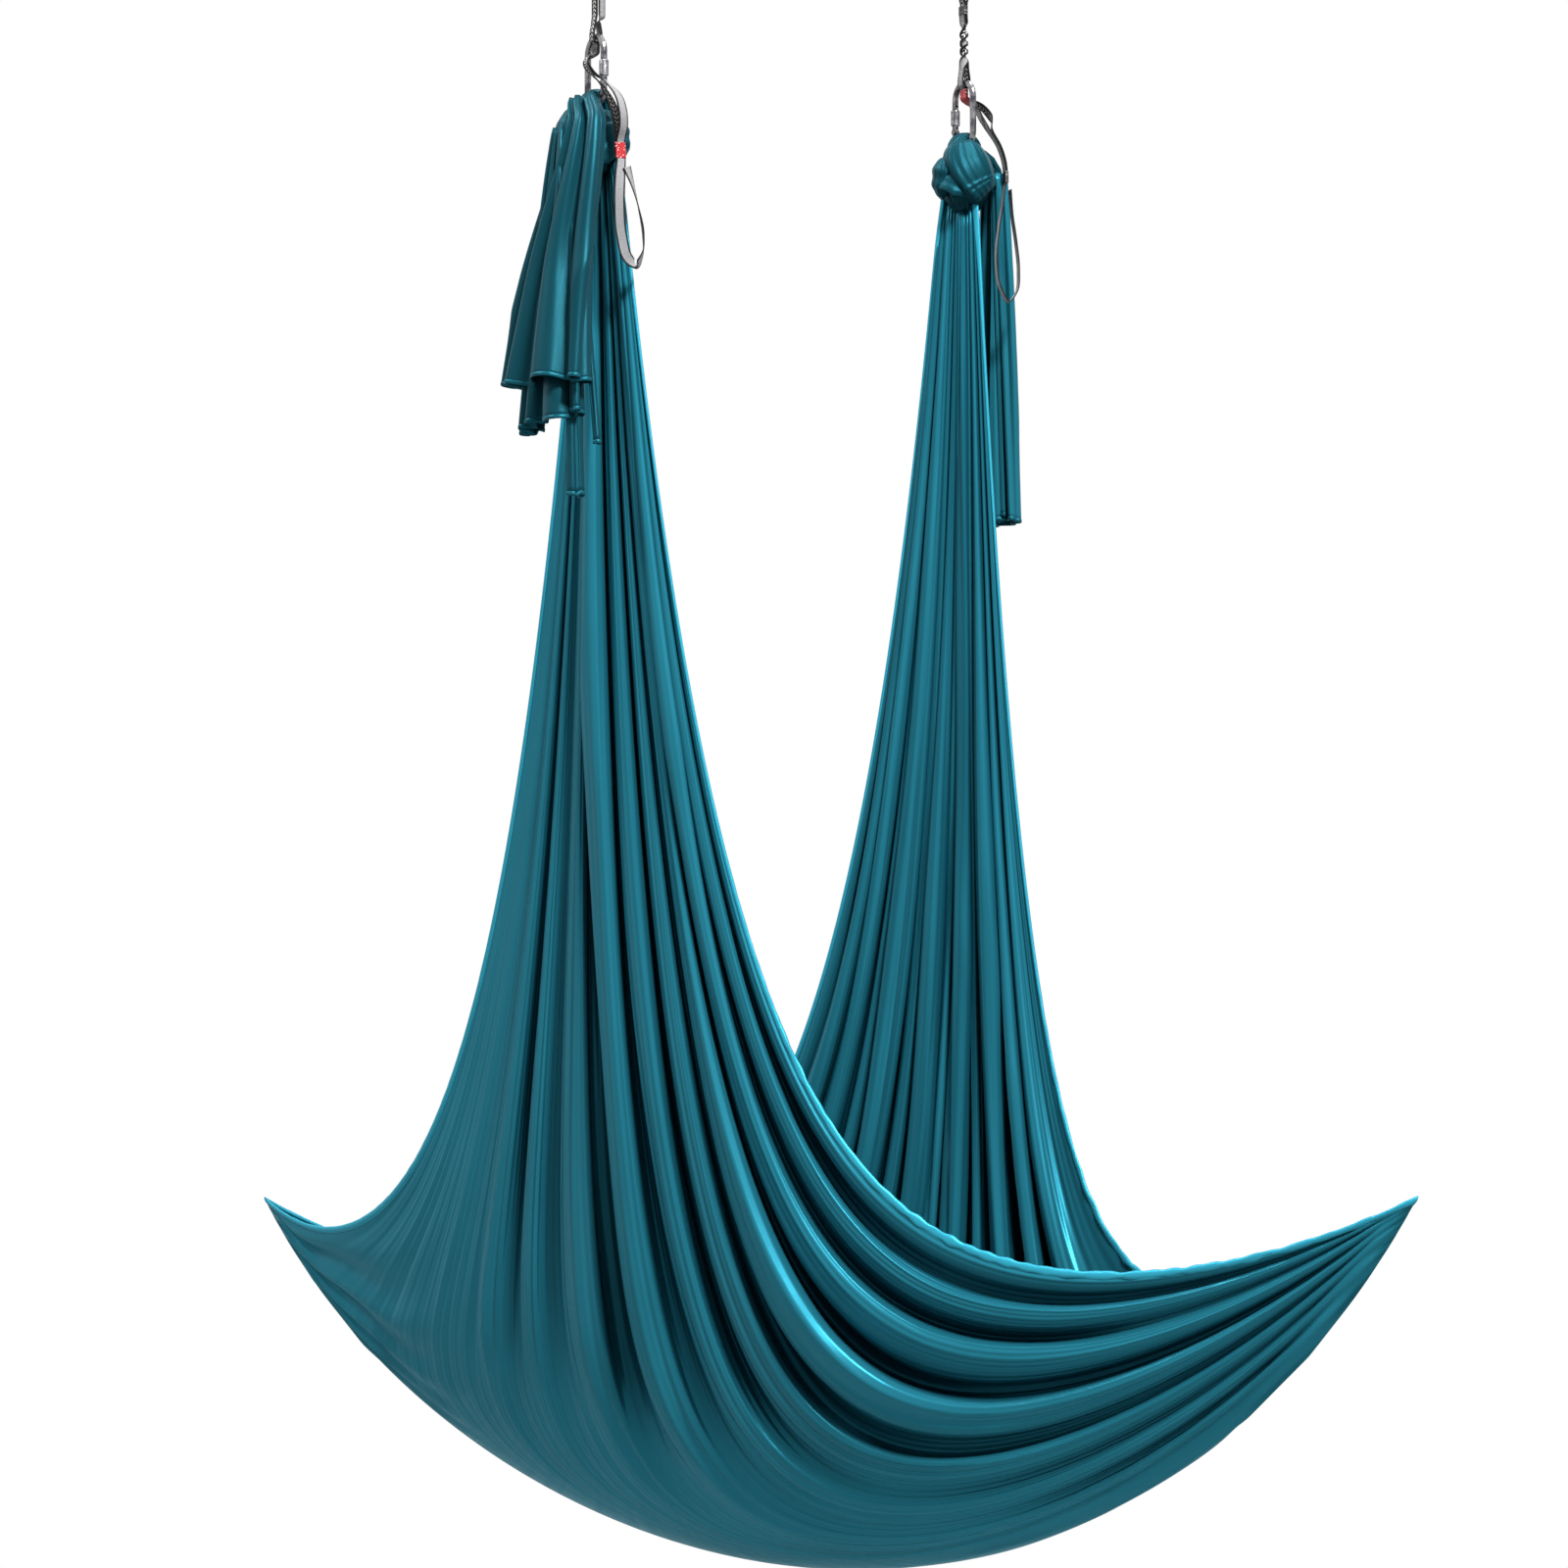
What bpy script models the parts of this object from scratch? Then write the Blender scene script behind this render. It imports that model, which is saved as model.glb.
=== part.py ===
"""Aerial hammock: one long cloth knotted over two carabiners, each clipped in a daisy chain strap.

Metres, +Z up. The origin lies midway between the two strap eyes, at the height of the hooks that
go through them. X runs along the line of the two eyes, and the cloth's edges are drawn out to a
point on each side of it. The right and left rigs are one design, turned half round about Z.
"""
import math

import bmesh
import bpy
import numpy as np
from mathutils import Matrix, Vector

for item in list(bpy.data.objects):
    bpy.data.objects.remove(item, do_unlink=True)

# How the hammock hangs, each height measured from the piece above it
KNOT_SPAN = 0.580
CARABINER_DROP = 0.160
KNOT_HEIGHT = 0.0805
KEEL_FALL = 1.872
TIP_RISE = 0.492

# The two points that the cloth's edges are drawn out to
TIP_OUT_X = 0.358
TIP_OUT_Y = 0.935

# Sling cloth
CLOTH_THICKNESS = 0.0008
NECK_WIDTH = 0.068
NECK_FOLD_DEPTH = 0.017
LEG_FOLD_DEPTH = 0.036
BELLY_FOLD_DEPTH = 0.015
FOLD_COUNT = 7
KEEL_ROUND_SHARE = 0.75
KEEL_SKEW = 0.047
TIP_SKEW = 0.011
FALL_SHARE_FRONT = 0.153
FALL_SHARE_BACK = 0.138
FALL_SHARE_LEFT = 0.250
FALL_SHARE_RIGHT = 0.120
EDGE_LIFT_LONG = 0.150
EDGE_LIFT_LEFT = 0.140
EDGE_LIFT_RIGHT = 0.170
LIFT_POWER_SHARE = 3.5
SLING_COLUMNS = 28
SLING_ROWS = 10
KNOT_ROW_POWER = 1.9
KEEL_ROW_POWER = 1.3
FOLD_OPEN_SHARE = 0.02
BELLY_SHARE = 0.45
BORDER_CALM_SHARE = 0.30
KEEL_CALM_START_SHARE = 0.55
KEEL_CALM_RUN_SHARE = 0.40
EDGE_FOLD_SHARE = 0.25
EDGE_CALM_SHARE = 0.14

# Carabiner
ROD = 0.009
CARABINER_HEIGHT = 0.104
CARABINER_WIDTH = 0.056
TONGUE_THICKNESS = 0.004
NOSE_SHOULDER = 0.003
NOSE_TONGUE = 0.008
HINGE_TONGUE = 0.0095
HINGE_PIN_RISE = 0.005
HINGE_PIN = 0.0024
LATCH_PIN = 0.0022
LATCH_PIN_DROP = 0.0035
PIN_LENGTH = 0.0082
GATE_END_GAP = 0.0008
GATE_SLOT_REACH = 0.0070
NOSE_SLOT_SPARE = 0.0012
NOTCH_SPARE = 0.0006
GATE_BORE = 0.0042
GATE_BORE_DEPTH = 0.0152
PLUNGER = 0.0034
PLUNGER_GAP = 0.0010
PLUNGER_HEAD = 0.0040
PLUNGER_STEM = 0.0018
PLUNGER_STEM_LENGTH = 0.0025
SPRING_DIAMETER = 0.0034
SPRING_WIRE = 0.0005
SPRING_TURNS = 7
SLEEVE_DIAMETER = 0.0128
SLEEVE_LENGTH = 0.022
SLEEVE_REST_RISE = 0.0090
SLEEVE_CHAMFER = 0.0010

# Daisy chain webbing
WEBBING_WIDTH = 0.015
WEBBING_THICKNESS = 0.0018
EYE_WIDTH = 0.018
EYE_LENGTH = 0.044
EYE_TACK_DROP = 0.056
TACK_HEIGHT = 0.012
POCKET_TACK_HEIGHT = 0.009
TACK_THREAD = 0.0007
PLY_MERGE = 0.009
POCKET_MERGE = 0.005
CHAIN_DROP = 0.300
CHAIN_TACK_HEIGHT = 0.016

# Knot
KNOT_RADIUS = 0.040
BAND_RADIUS = 0.0385
BAND_HEIGHT = 0.044
BAND_TILT = math.radians(20)
BAND_TURN = math.radians(-14)
BAND_DROP_SHARE = 0.50
BAND_ROUND = 0.008
BODY_RADIUS = 0.036
BODY_HALF_HEIGHT = 0.0515
BODY_DROP_SHARE = 0.56
SADDLE_THICKNESS = 0.020
SADDLE_WIDTH = 0.035
LOBE_OUT = 0.035
LOBE_SIDE = 0.004
LOBE_WIDTH = 0.026
LOBE_DEPTH = 0.036
LOBE_HEIGHT = 0.058
STUB_THICKNESS = 0.018
STUB_WIDTH = 0.040
STUB_FALL = 0.0405

# Loose ends of the cloth
RIGHT_TAIL_LENGTH = 0.4857
RIGHT_TAIL_OUT = 0.063
RIGHT_TAIL_SIDE = 0.024
RIGHT_TAIL_HALF_DEPTH = 0.020
RIGHT_TAIL_HALF_WIDTH = 0.058
LEFT_TAIL_LENGTH = 0.3457
LEFT_TAIL_OUT = 0.084
LEFT_TAIL_SIDE = 0.022
LEFT_TAIL_HALF_DEPTH = 0.032
LEFT_TAIL_HALF_WIDTH = 0.105
TAIL_TOP_WIDTH = 0.044
TAIL_TOP_DEPTH = 0.018
TAIL_WIDEN_POWER = 0.8
TAIL_TOP_FLUTE_SHARE = 0.06
TAIL_HEM_FLUTE_SHARE = 0.28
TAIL_FLUTES = 7
TAIL_RING_POINTS = 42
TAIL_RINGS = 9
STRIP_LENGTH = 0.213
STRIP_RISE = 0.045
STRIP_SIDE = 0.080
STRIP_OUT = 0.078
STRIP_HALF_DEPTH = 0.013
STRIP_HALF_WIDTH = 0.025

# Fits
CLEARANCE = 0.0003
OVERRUN = 0.010
ROUND_STEPS = 24
SMALL_ROUND_STEPS = 16
BEND_STEPS = 14
CHAIN_STEPS = 6
CHAIN_TACK_STEPS = 6
ARCH_STEPS = 12
STUB_STEPS = 4
STRIP_STEPS = 12
SPRING_STEPS = 9
PLY_STEPS = 5
SHARP_ANGLE = math.radians(35)
MERGE = 0.00002

half_span = KNOT_SPAN / 2
bend_radius = (CARABINER_WIDTH - ROD) / 2
top_bend_z = -CARABINER_DROP - CARABINER_WIDTH / 2
bottom_bend_z = -CARABINER_DROP - CARABINER_HEIGHT + CARABINER_WIDTH / 2
bottom_bar_z = bottom_bend_z - bend_radius
nose_shoulder_z = top_bend_z - NOSE_SHOULDER
nose_end_z = nose_shoulder_z - NOSE_TONGUE
hinge_pin_z = bottom_bend_z + HINGE_PIN_RISE
latch_pin_z = nose_shoulder_z - LATCH_PIN_DROP
gate_top_z = nose_shoulder_z - GATE_END_GAP
bar_top_z = -CARABINER_DROP
bar_bottom_z = -CARABINER_DROP - ROD
ply_step = (WEBBING_THICKNESS + CLEARANCE) / 2
pocket_half = ROD / 2 + CLEARANCE + WEBBING_THICKNESS / 2
chain_root_z = bar_bottom_z - POCKET_MERGE - POCKET_TACK_HEIGHT - CLEARANCE
saddle_radius = ROD / 2 + CLEARANCE + SADDLE_THICKNESS / 2
knot_bottom_z = bottom_bar_z - KNOT_HEIGHT
keel_z = knot_bottom_z - KEEL_FALL
stub_end_z = bottom_bar_z - STUB_FALL
tail_top_x = BAND_RADIUS + 2 * CLEARANCE + TAIL_TOP_DEPTH / 2
tail_top_z = stub_end_z - CLEARANCE

parts = bpy.data.collections.new("aerial_hammock")
cutters = bpy.data.collections.new("cutters")
bpy.context.scene.collection.children.link(parts)
bpy.context.scene.collection.children.link(cutters)


def make_material(name, colour, roughness, metallic):
    finish = bpy.data.materials.new(name)
    finish.use_nodes = True
    shader = finish.node_tree.nodes["Principled BSDF"]
    shader.inputs["Base Color"].default_value = (*colour, 1)
    shader.inputs["Roughness"].default_value = roughness
    shader.inputs["Metallic"].default_value = metallic
    return finish


TRICOT = make_material("petrol_tricot", (0.016, 0.140, 0.190), 0.42, 0)
STEEL = make_material("carabiner_steel", (0.62, 0.62, 0.61), 0.22, 1)
SPRING_STEEL = make_material("spring_steel", (0.45, 0.45, 0.44), 0.30, 1)
BLACK_WEBBING = make_material("black_webbing", (0.014, 0.014, 0.015), 0.75, 0)
GREY_WEBBING = make_material("grey_webbing", (0.42, 0.42, 0.42), 0.65, 0)
BLACK_THREAD = make_material("black_thread", (0.020, 0.020, 0.020), 0.80, 0)
RED_THREAD = make_material("red_thread", (0.55, 0.010, 0.015), 0.70, 0)


def new_object(name, mesh, finish, smooth=True):
    piece = bpy.data.objects.new(name, mesh)
    if finish is None:
        cutters.objects.link(piece)
        piece.hide_render = True
        piece.display_type = "WIRE"
        return piece
    parts.objects.link(piece)
    mesh.materials.clear()
    mesh.materials.append(finish)
    if smooth:
        mesh.shade_smooth()
        mesh.set_sharp_from_angle(angle=SHARP_ANGLE)
    return piece


def mesh_from(shape, name):
    mesh = bpy.data.meshes.new(name)
    shape.to_mesh(mesh)
    shape.free()
    return mesh


def box(name, lowest, highest, finish=None):
    """A box between two corners."""
    size = Vector(highest) - Vector(lowest)
    middle = (Vector(highest) + Vector(lowest)) / 2
    shape = bmesh.new()
    bmesh.ops.create_cube(shape, size=1, matrix=Matrix.Translation(middle) @ Matrix.Diagonal((*size, 1)))
    return new_object(name, mesh_from(shape, name), finish)


def cylinder(name, start, end, radius, finish=None, steps=ROUND_STEPS):
    """A cylinder between two points."""
    start = Vector(start)
    run = Vector(end) - start
    turn = run.to_track_quat("Z", "Y").to_matrix().to_4x4()
    shape = bmesh.new()
    place = Matrix.Translation(start + run / 2) @ turn
    bmesh.ops.create_cone(shape, cap_ends=True, segments=steps, radius1=radius, radius2=radius,
                          depth=run.length, matrix=place)
    return new_object(name, mesh_from(shape, name), finish)


def ball(name, middle, half_sizes, finish=None, rounds=20, rings=12):
    shape = bmesh.new()
    place = Matrix.Translation(middle) @ Matrix.Diagonal((*half_sizes, 1))
    bmesh.ops.create_uvsphere(shape, u_segments=rounds, v_segments=rings, radius=1, matrix=place)
    return new_object(name, mesh_from(shape, name), finish)


def tube(name, route, radius, finish=None, bevel_steps=2):
    """A round rod along a route, as a closed mesh."""
    curve = bpy.data.curves.new(name, "CURVE")
    curve.dimensions = "3D"
    curve.bevel_depth = radius
    curve.bevel_resolution = bevel_steps
    curve.use_fill_caps = True
    spline = curve.splines.new("POLY")
    spline.points.add(len(route) - 1)
    for point, place in zip(spline.points, route):
        point.co = (*place, 1)
    guide = bpy.data.objects.new(name + "_route", curve)
    cutters.objects.link(guide)
    graph = bpy.context.evaluated_depsgraph_get()
    mesh = bpy.data.meshes.new_from_object(guide.evaluated_get(graph))
    bpy.data.objects.remove(guide)
    shape = bmesh.new()
    shape.from_mesh(mesh)
    bmesh.ops.remove_doubles(shape, verts=shape.verts, dist=MERGE)
    shape.to_mesh(mesh)
    shape.free()
    return new_object(name, mesh, finish)


def turned(name, profile, middle, finish):
    """A solid turned about Z from a closed profile that runs down its outer side."""
    shape = bmesh.new()
    corners = [shape.verts.new((radius, 0, height)) for radius, height in profile]
    for first, second in zip(corners, corners[1:]):
        shape.edges.new((first, second))
    if profile[0][0] > 0:
        shape.edges.new((corners[-1], corners[0]))
    piece = new_object(name, mesh_from(shape, name), finish, smooth=False)
    piece.location = middle
    turn = piece.modifiers.new("turn", "SCREW")
    turn.steps = ROUND_STEPS
    turn.render_steps = ROUND_STEPS
    turn.use_merge_vertices = True
    turn.merge_threshold = MERGE
    turn.use_smooth_shade = True
    return piece


def cut(piece, cutter, operation="DIFFERENCE"):
    step = piece.modifiers.new(cutter.name, "BOOLEAN")
    step.operation = operation
    step.object = cutter


def loft(name, rings, finish=None):
    """A closed solid through rings of equal count, each a loop of points, with flat ends."""
    shape = bmesh.new()
    loops = [[shape.verts.new(place) for place in ring] for ring in rings]
    count = len(loops[0])
    for lower, upper in zip(loops, loops[1:]):
        for corner in range(count):
            after = (corner + 1) % count
            shape.faces.new((lower[corner], lower[after], upper[after], upper[corner]))
    shape.faces.new(list(reversed(loops[0])))
    shape.faces.new(loops[-1])
    bmesh.ops.recalc_face_normals(shape, faces=shape.faces)
    return new_object(name, mesh_from(shape, name), finish)


def set_origin(piece, place):
    """Moves a piece's origin to its joint, with the piece where it was."""
    move = Vector(place) - piece.location
    piece.data.transform(Matrix.Translation(-move))
    piece.location = place


def smooth_route(points, steps):
    """Points along a smooth curve through the given ones, each a row that starts with its place."""
    rows = np.array(points, dtype=float)
    gaps = np.linalg.norm(np.diff(rows[:, :3], axis=0), axis=1)[:, None]
    slopes = np.diff(rows, axis=0) / gaps
    between = (slopes[:-1] * gaps[1:] + slopes[1:] * gaps[:-1]) / (gaps[1:] + gaps[:-1])
    slopes = np.vstack([slopes[:1], between, slopes[-1:]])
    route = []
    for index, gap in enumerate(gaps):
        for step in range(steps):
            t = step / steps
            start = rows[index] * (1 + 2 * t) + slopes[index] * gap * t
            end = rows[index + 1] * (3 - 2 * t) - slopes[index + 1] * gap * (1 - t)
            route.append(start * (1 - t) ** 2 + end * t ** 2)
    route.append(rows[-1])
    return np.array(route)


def at_rig(side, x, y, z):
    """A place on one rig, from its place on the right rig relative to the carabiner."""
    return Vector((side * (half_span + x), side * y, z))


def carabiner_route(nose_end, hinge_end):
    """Y and Z of the bent rod's centre line, from the nose over the spine to the hinge."""
    route = [(bend_radius, nose_end)]
    for step in range(BEND_STEPS + 1):
        angle = math.pi * step / BEND_STEPS
        route.append((bend_radius * math.cos(angle), top_bend_z + bend_radius * math.sin(angle)))
    for step in range(BEND_STEPS + 1):
        angle = math.pi * (1 + step / BEND_STEPS)
        route.append((bend_radius * math.cos(angle), bottom_bend_z + bend_radius * math.sin(angle)))
    route.append((bend_radius, hinge_end))
    return route


def tongue_cutters(name, side, low, high):
    """Two boxes that leave a flat tongue in the middle of a rod, between two heights."""
    for hand, face in (("a", -1), ("b", 1)):
        near = face * TONGUE_THICKNESS / 2
        far = face * (ROD + OVERRUN) / 2
        first = at_rig(side, min(near, far), bend_radius - ROD, low)
        second = at_rig(side, max(near, far), bend_radius + ROD, high)
        lowest = [min(pair) for pair in zip(first, second)]
        highest = [max(pair) for pair in zip(first, second)]
        yield box(f"{name}_{hand}", lowest, highest)


def slot_cutter(name, side, low, high):
    """A box across a rod that clears a tongue, between two heights."""
    half = TONGUE_THICKNESS / 2 + CLEARANCE
    first = at_rig(side, -half, bend_radius - ROD, low)
    second = at_rig(side, half, bend_radius + ROD, high)
    lowest = [min(pair) for pair in zip(first, second)]
    highest = [max(pair) for pair in zip(first, second)]
    return box(name, lowest, highest)


def build_carabiner(label, side):
    route = carabiner_route(nose_end_z, bottom_bend_z + HINGE_TONGUE)
    body = tube(f"{label}_carabiner_body", [at_rig(side, 0, y, z) for y, z in route], ROD / 2, STEEL, 4)
    for cutter in tongue_cutters(f"{label}_nose_cut", side, nose_end_z - OVERRUN / 2, nose_shoulder_z):
        cut(body, cutter)
    for cutter in tongue_cutters(f"{label}_hinge_cut", side, bottom_bend_z, hinge_pin_z + OVERRUN):
        cut(body, cutter)
    pin_hole = HINGE_PIN / 2 + CLEARANCE
    hole = cylinder(f"{label}_hinge_hole", at_rig(side, -ROD, bend_radius, hinge_pin_z),
                    at_rig(side, ROD, bend_radius, hinge_pin_z), pin_hole, None, SMALL_ROUND_STEPS)
    cut(body, hole)
    notch_half = LATCH_PIN / 2 + CLEARANCE
    first = at_rig(side, -ROD, bend_radius - ROD, latch_pin_z - notch_half - NOTCH_SPARE)
    second = at_rig(side, ROD, bend_radius + notch_half, latch_pin_z + notch_half)
    lowest = [min(pair) for pair in zip(first, second)]
    highest = [max(pair) for pair in zip(first, second)]
    cut(body, box(f"{label}_latch_notch", lowest, highest))

    gate = cylinder(f"{label}_gate", at_rig(side, 0, bend_radius, hinge_pin_z),
                    at_rig(side, 0, bend_radius, gate_top_z), ROD / 2, STEEL)
    knuckle_half = PIN_LENGTH / 2
    knuckle = cylinder(f"{label}_gate_knuckle", at_rig(side, -knuckle_half, bend_radius, hinge_pin_z),
                       at_rig(side, knuckle_half, bend_radius, hinge_pin_z), ROD / 2 - CLEARANCE / 2)
    cut(gate, knuckle, "UNION")
    slot_top = hinge_pin_z + GATE_SLOT_REACH
    cut(gate, slot_cutter(f"{label}_hinge_slot", side, hinge_pin_z - OVERRUN, slot_top))
    slot_bottom = nose_end_z - NOSE_SLOT_SPARE
    cut(gate, slot_cutter(f"{label}_nose_slot", side, slot_bottom, gate_top_z + OVERRUN))
    cut(gate, cylinder(f"{label}_gate_pin_hole", at_rig(side, -ROD, bend_radius, hinge_pin_z),
                       at_rig(side, ROD, bend_radius, hinge_pin_z), pin_hole, None, SMALL_ROUND_STEPS))
    cut(gate, cylinder(f"{label}_latch_hole", at_rig(side, -ROD, bend_radius, latch_pin_z),
                       at_rig(side, ROD, bend_radius, latch_pin_z), notch_half, None, SMALL_ROUND_STEPS))
    bore_top = slot_top + GATE_BORE_DEPTH
    cut(gate, cylinder(f"{label}_gate_bore", at_rig(side, 0, bend_radius, hinge_pin_z),
                       at_rig(side, 0, bend_radius, bore_top), GATE_BORE / 2, None, SMALL_ROUND_STEPS))
    hinge = at_rig(side, 0, bend_radius, hinge_pin_z)
    set_origin(gate, hinge)

    pin_half = PIN_LENGTH / 2
    cylinder(f"{label}_hinge_pin", at_rig(side, -pin_half, bend_radius, hinge_pin_z),
             at_rig(side, pin_half, bend_radius, hinge_pin_z), HINGE_PIN / 2, STEEL, SMALL_ROUND_STEPS)
    latch = cylinder(f"{label}_latch_pin", at_rig(side, -pin_half, bend_radius, latch_pin_z),
                     at_rig(side, pin_half, bend_radius, latch_pin_z), LATCH_PIN / 2, STEEL,
                     SMALL_ROUND_STEPS)
    set_origin(latch, hinge)

    tip_z = bottom_bend_z + HINGE_TONGUE + PLUNGER_GAP
    head_z = tip_z + PLUNGER_HEAD
    stem_z = head_z + PLUNGER_STEM_LENGTH
    profile = [(0, stem_z), (PLUNGER_STEM / 2, stem_z), (PLUNGER_STEM / 2, head_z), (PLUNGER / 2, head_z),
               (PLUNGER / 2, tip_z), (0, tip_z)]
    plunger_profile = [(radius, height - hinge_pin_z) for radius, height in profile]
    turned(f"{label}_gate_plunger", plunger_profile, hinge, STEEL)

    coil_start = head_z + CLEARANCE + SPRING_WIRE / 2
    coil_end = bore_top - CLEARANCE - SPRING_WIRE / 2
    coil_radius = (SPRING_DIAMETER - SPRING_WIRE) / 2
    count = SPRING_TURNS * SPRING_STEPS
    coil = []
    for step in range(count + 1):
        angle = 2 * math.pi * step / SPRING_STEPS
        height = coil_start + (coil_end - coil_start) * step / count
        coil.append(at_rig(side, coil_radius * math.cos(angle),
                           bend_radius + coil_radius * math.sin(angle), height))
    spring = tube(f"{label}_gate_spring", coil, SPRING_WIRE / 2, SPRING_STEEL, 1)
    set_origin(spring, hinge)
    pitch = (coil_end - coil_start) / SPRING_TURNS
    print(f"{label} gate spring: {SPRING_TURNS} turns, gap {(pitch - SPRING_WIRE) * 1000:.2f} mm")

    inner = ROD / 2 + CLEARANCE
    outer = SLEEVE_DIAMETER / 2
    top = SLEEVE_LENGTH
    profile = [(inner, top), (outer - SLEEVE_CHAMFER, top), (outer, top - SLEEVE_CHAMFER),
               (outer, SLEEVE_CHAMFER), (outer - SLEEVE_CHAMFER, 0), (inner, 0)]
    turned(f"{label}_locking_sleeve", profile,
           at_rig(side, 0, bend_radius, hinge_pin_z + SLEEVE_REST_RISE), STEEL)


def ribbon(name, middles, widths, thickness, finish):
    """A webbing band: an open strip between two edges, thickened evenly to both sides."""
    shape = bmesh.new()
    rows = []
    for middle, across in zip(middles, widths):
        half = Vector(across) * WEBBING_WIDTH / 2
        rows.append((shape.verts.new(Vector(middle) - half), shape.verts.new(Vector(middle) + half)))
    for (left, right), (next_left, next_right) in zip(rows, rows[1:]):
        shape.faces.new((left, right, next_right, next_left))
    piece = new_object(name, mesh_from(shape, name), finish)
    wall = piece.modifiers.new("thickness", "SOLIDIFY")
    wall.thickness = thickness
    wall.offset = 0
    wall.use_even_offset = True
    return piece


def blend_step(share):
    """Goes from 0 to 1 with level ends."""
    share = min(max(share, 0), 1)
    return share * share * (3 - 2 * share)


def strap_profile():
    """X and Z of the two bands of a strap, from the pocket's tack up to the eye."""
    tack_bottom = chain_root_z + CLEARANCE
    tack_top = tack_bottom + POCKET_TACK_HEIGHT
    eye_tack_bottom = -EYE_TACK_DROP - TACK_HEIGHT
    pocket = [(ply_step, tack_bottom), (ply_step, tack_top)]
    for step in range(1, PLY_STEPS):
        share = step / PLY_STEPS
        pocket.append((ply_step + (pocket_half - ply_step) * blend_step(share),
                       tack_top + POCKET_MERGE * share))
    pocket.append((pocket_half, bar_bottom_z))
    pocket.append((pocket_half, bar_top_z))
    merge_start = eye_tack_bottom - PLY_MERGE
    black = list(pocket)
    grey = [(-x, z) for x, z in pocket]
    for step in range(PLY_STEPS + 1):
        share = blend_step(step / PLY_STEPS)
        height = merge_start + PLY_MERGE * step / PLY_STEPS
        black.append((pocket_half + (ply_step - pocket_half) * share, height))
        grey.append((-pocket_half + (pocket_half - 3 * ply_step) * share, height))
    black.append((ply_step, -EYE_TACK_DROP))
    grey.append((-3 * ply_step, -EYE_TACK_DROP))
    eye_half = (EYE_WIDTH + WEBBING_THICKNESS) / 2
    eye_middle = -EYE_WIDTH / 2
    spread = EYE_TACK_DROP - EYE_LENGTH
    for step in range(1, PLY_STEPS + 1):
        share = step / PLY_STEPS
        black.append((ply_step + (eye_half - ply_step) * blend_step(share),
                      -EYE_TACK_DROP + (spread + EYE_WIDTH) * share))
    for step in range(BEND_STEPS + 1):
        angle = math.pi * step / BEND_STEPS
        black.append((eye_half * math.cos(angle), eye_middle + eye_half * math.sin(angle)))
    for step in range(PLY_STEPS, -1, -1):
        share = step / PLY_STEPS
        black.append((-ply_step - (eye_half - ply_step) * blend_step(share),
                      -EYE_TACK_DROP + (spread + EYE_WIDTH) * share))
    black.append((-ply_step, eye_tack_bottom))
    return black, grey


def tack(name, middle, frame, plies, height, finish):
    """A bar tack: a short band of thread round the edges of the plies that it sews together."""
    stack = plies * WEBBING_THICKNESS + (plies - 1) * CLEARANCE
    inner = Vector((WEBBING_WIDTH / 2 + CLEARANCE, stack / 2 + CLEARANCE, height))
    outer = Vector((inner.x + TACK_THREAD, inner.y + TACK_THREAD, height / 2))
    turn = Matrix.Translation(middle) @ frame.to_4x4()
    solid = box(name, -outer, outer, finish)
    solid.data.transform(turn)
    hollow = box(f"{name}_inside", -inner, inner)
    hollow.data.transform(turn)
    cut(solid, hollow)
    return solid


def build_strap(label, side, pocket_thread):
    black, grey = strap_profile()
    across = (0, side, 0)
    for colour, route, finish in (("black", black, BLACK_WEBBING), ("grey", grey, GREY_WEBBING)):
        middles = [at_rig(side, x, 0, z) for x, z in route]
        ribbon(f"{label}_strap_{colour}_band", middles, [across] * len(middles), WEBBING_THICKNESS, finish)
    frame = Matrix(((0, 1, 0), (1, 0, 0), (0, 0, -1))).transposed()
    low = chain_root_z + CLEARANCE
    tack(f"{label}_pocket_tack", at_rig(side, 0, 0, low + POCKET_TACK_HEIGHT / 2), frame, 2,
         POCKET_TACK_HEIGHT, pocket_thread)
    tack(f"{label}_eye_tack", at_rig(side, -ply_step, 0, -EYE_TACK_DROP - TACK_HEIGHT / 2), frame, 3,
         TACK_HEIGHT, BLACK_THREAD)


# Leftover chain: across and outward in knot radii, down in shares of the chain's drop, the width's
# heading in degrees, and how far the grey band stands off the black one, in webbing widths
LEFT_CHAIN_SHARES = [
    (0.00, 0.00, 0.000, 90, 0.0), (0.00, 0.00, 0.008, 90, 0.0), (-0.25, 0.05, 0.034, 88, 0.0),
    (-0.42, -0.16, 0.066, 82, 0.0),
    (-0.43, -0.62, 0.125, 62, 0.1), (-0.26, -1.12, 0.195, 36, 0.4), (-0.06, -1.42, 0.285, 14, 0.9),
    (0.08, -1.50, 0.380, 8, 0.7), (0.12, -1.52, 0.450, 7, 0.0), (0.14, -1.55, 0.520, 7, 0.0),
]
LEFT_LOOP_SHARES = [
    (0.14, -1.55, 0.520, 7), (0.05, -1.66, 0.600, -12), (-0.02, -1.78, 0.740, -40), (0.04, -1.85, 0.880, -30),
    (0.26, -1.88, 0.975, -5), (0.55, -1.86, 1.000, 25), (0.83, -1.80, 0.950, 55), (0.90, -1.74, 0.860, 70),
    (0.74, -1.70, 0.740, 62), (0.50, -1.68, 0.630, 40), (0.30, -1.68, 0.560, 15),
]
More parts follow.
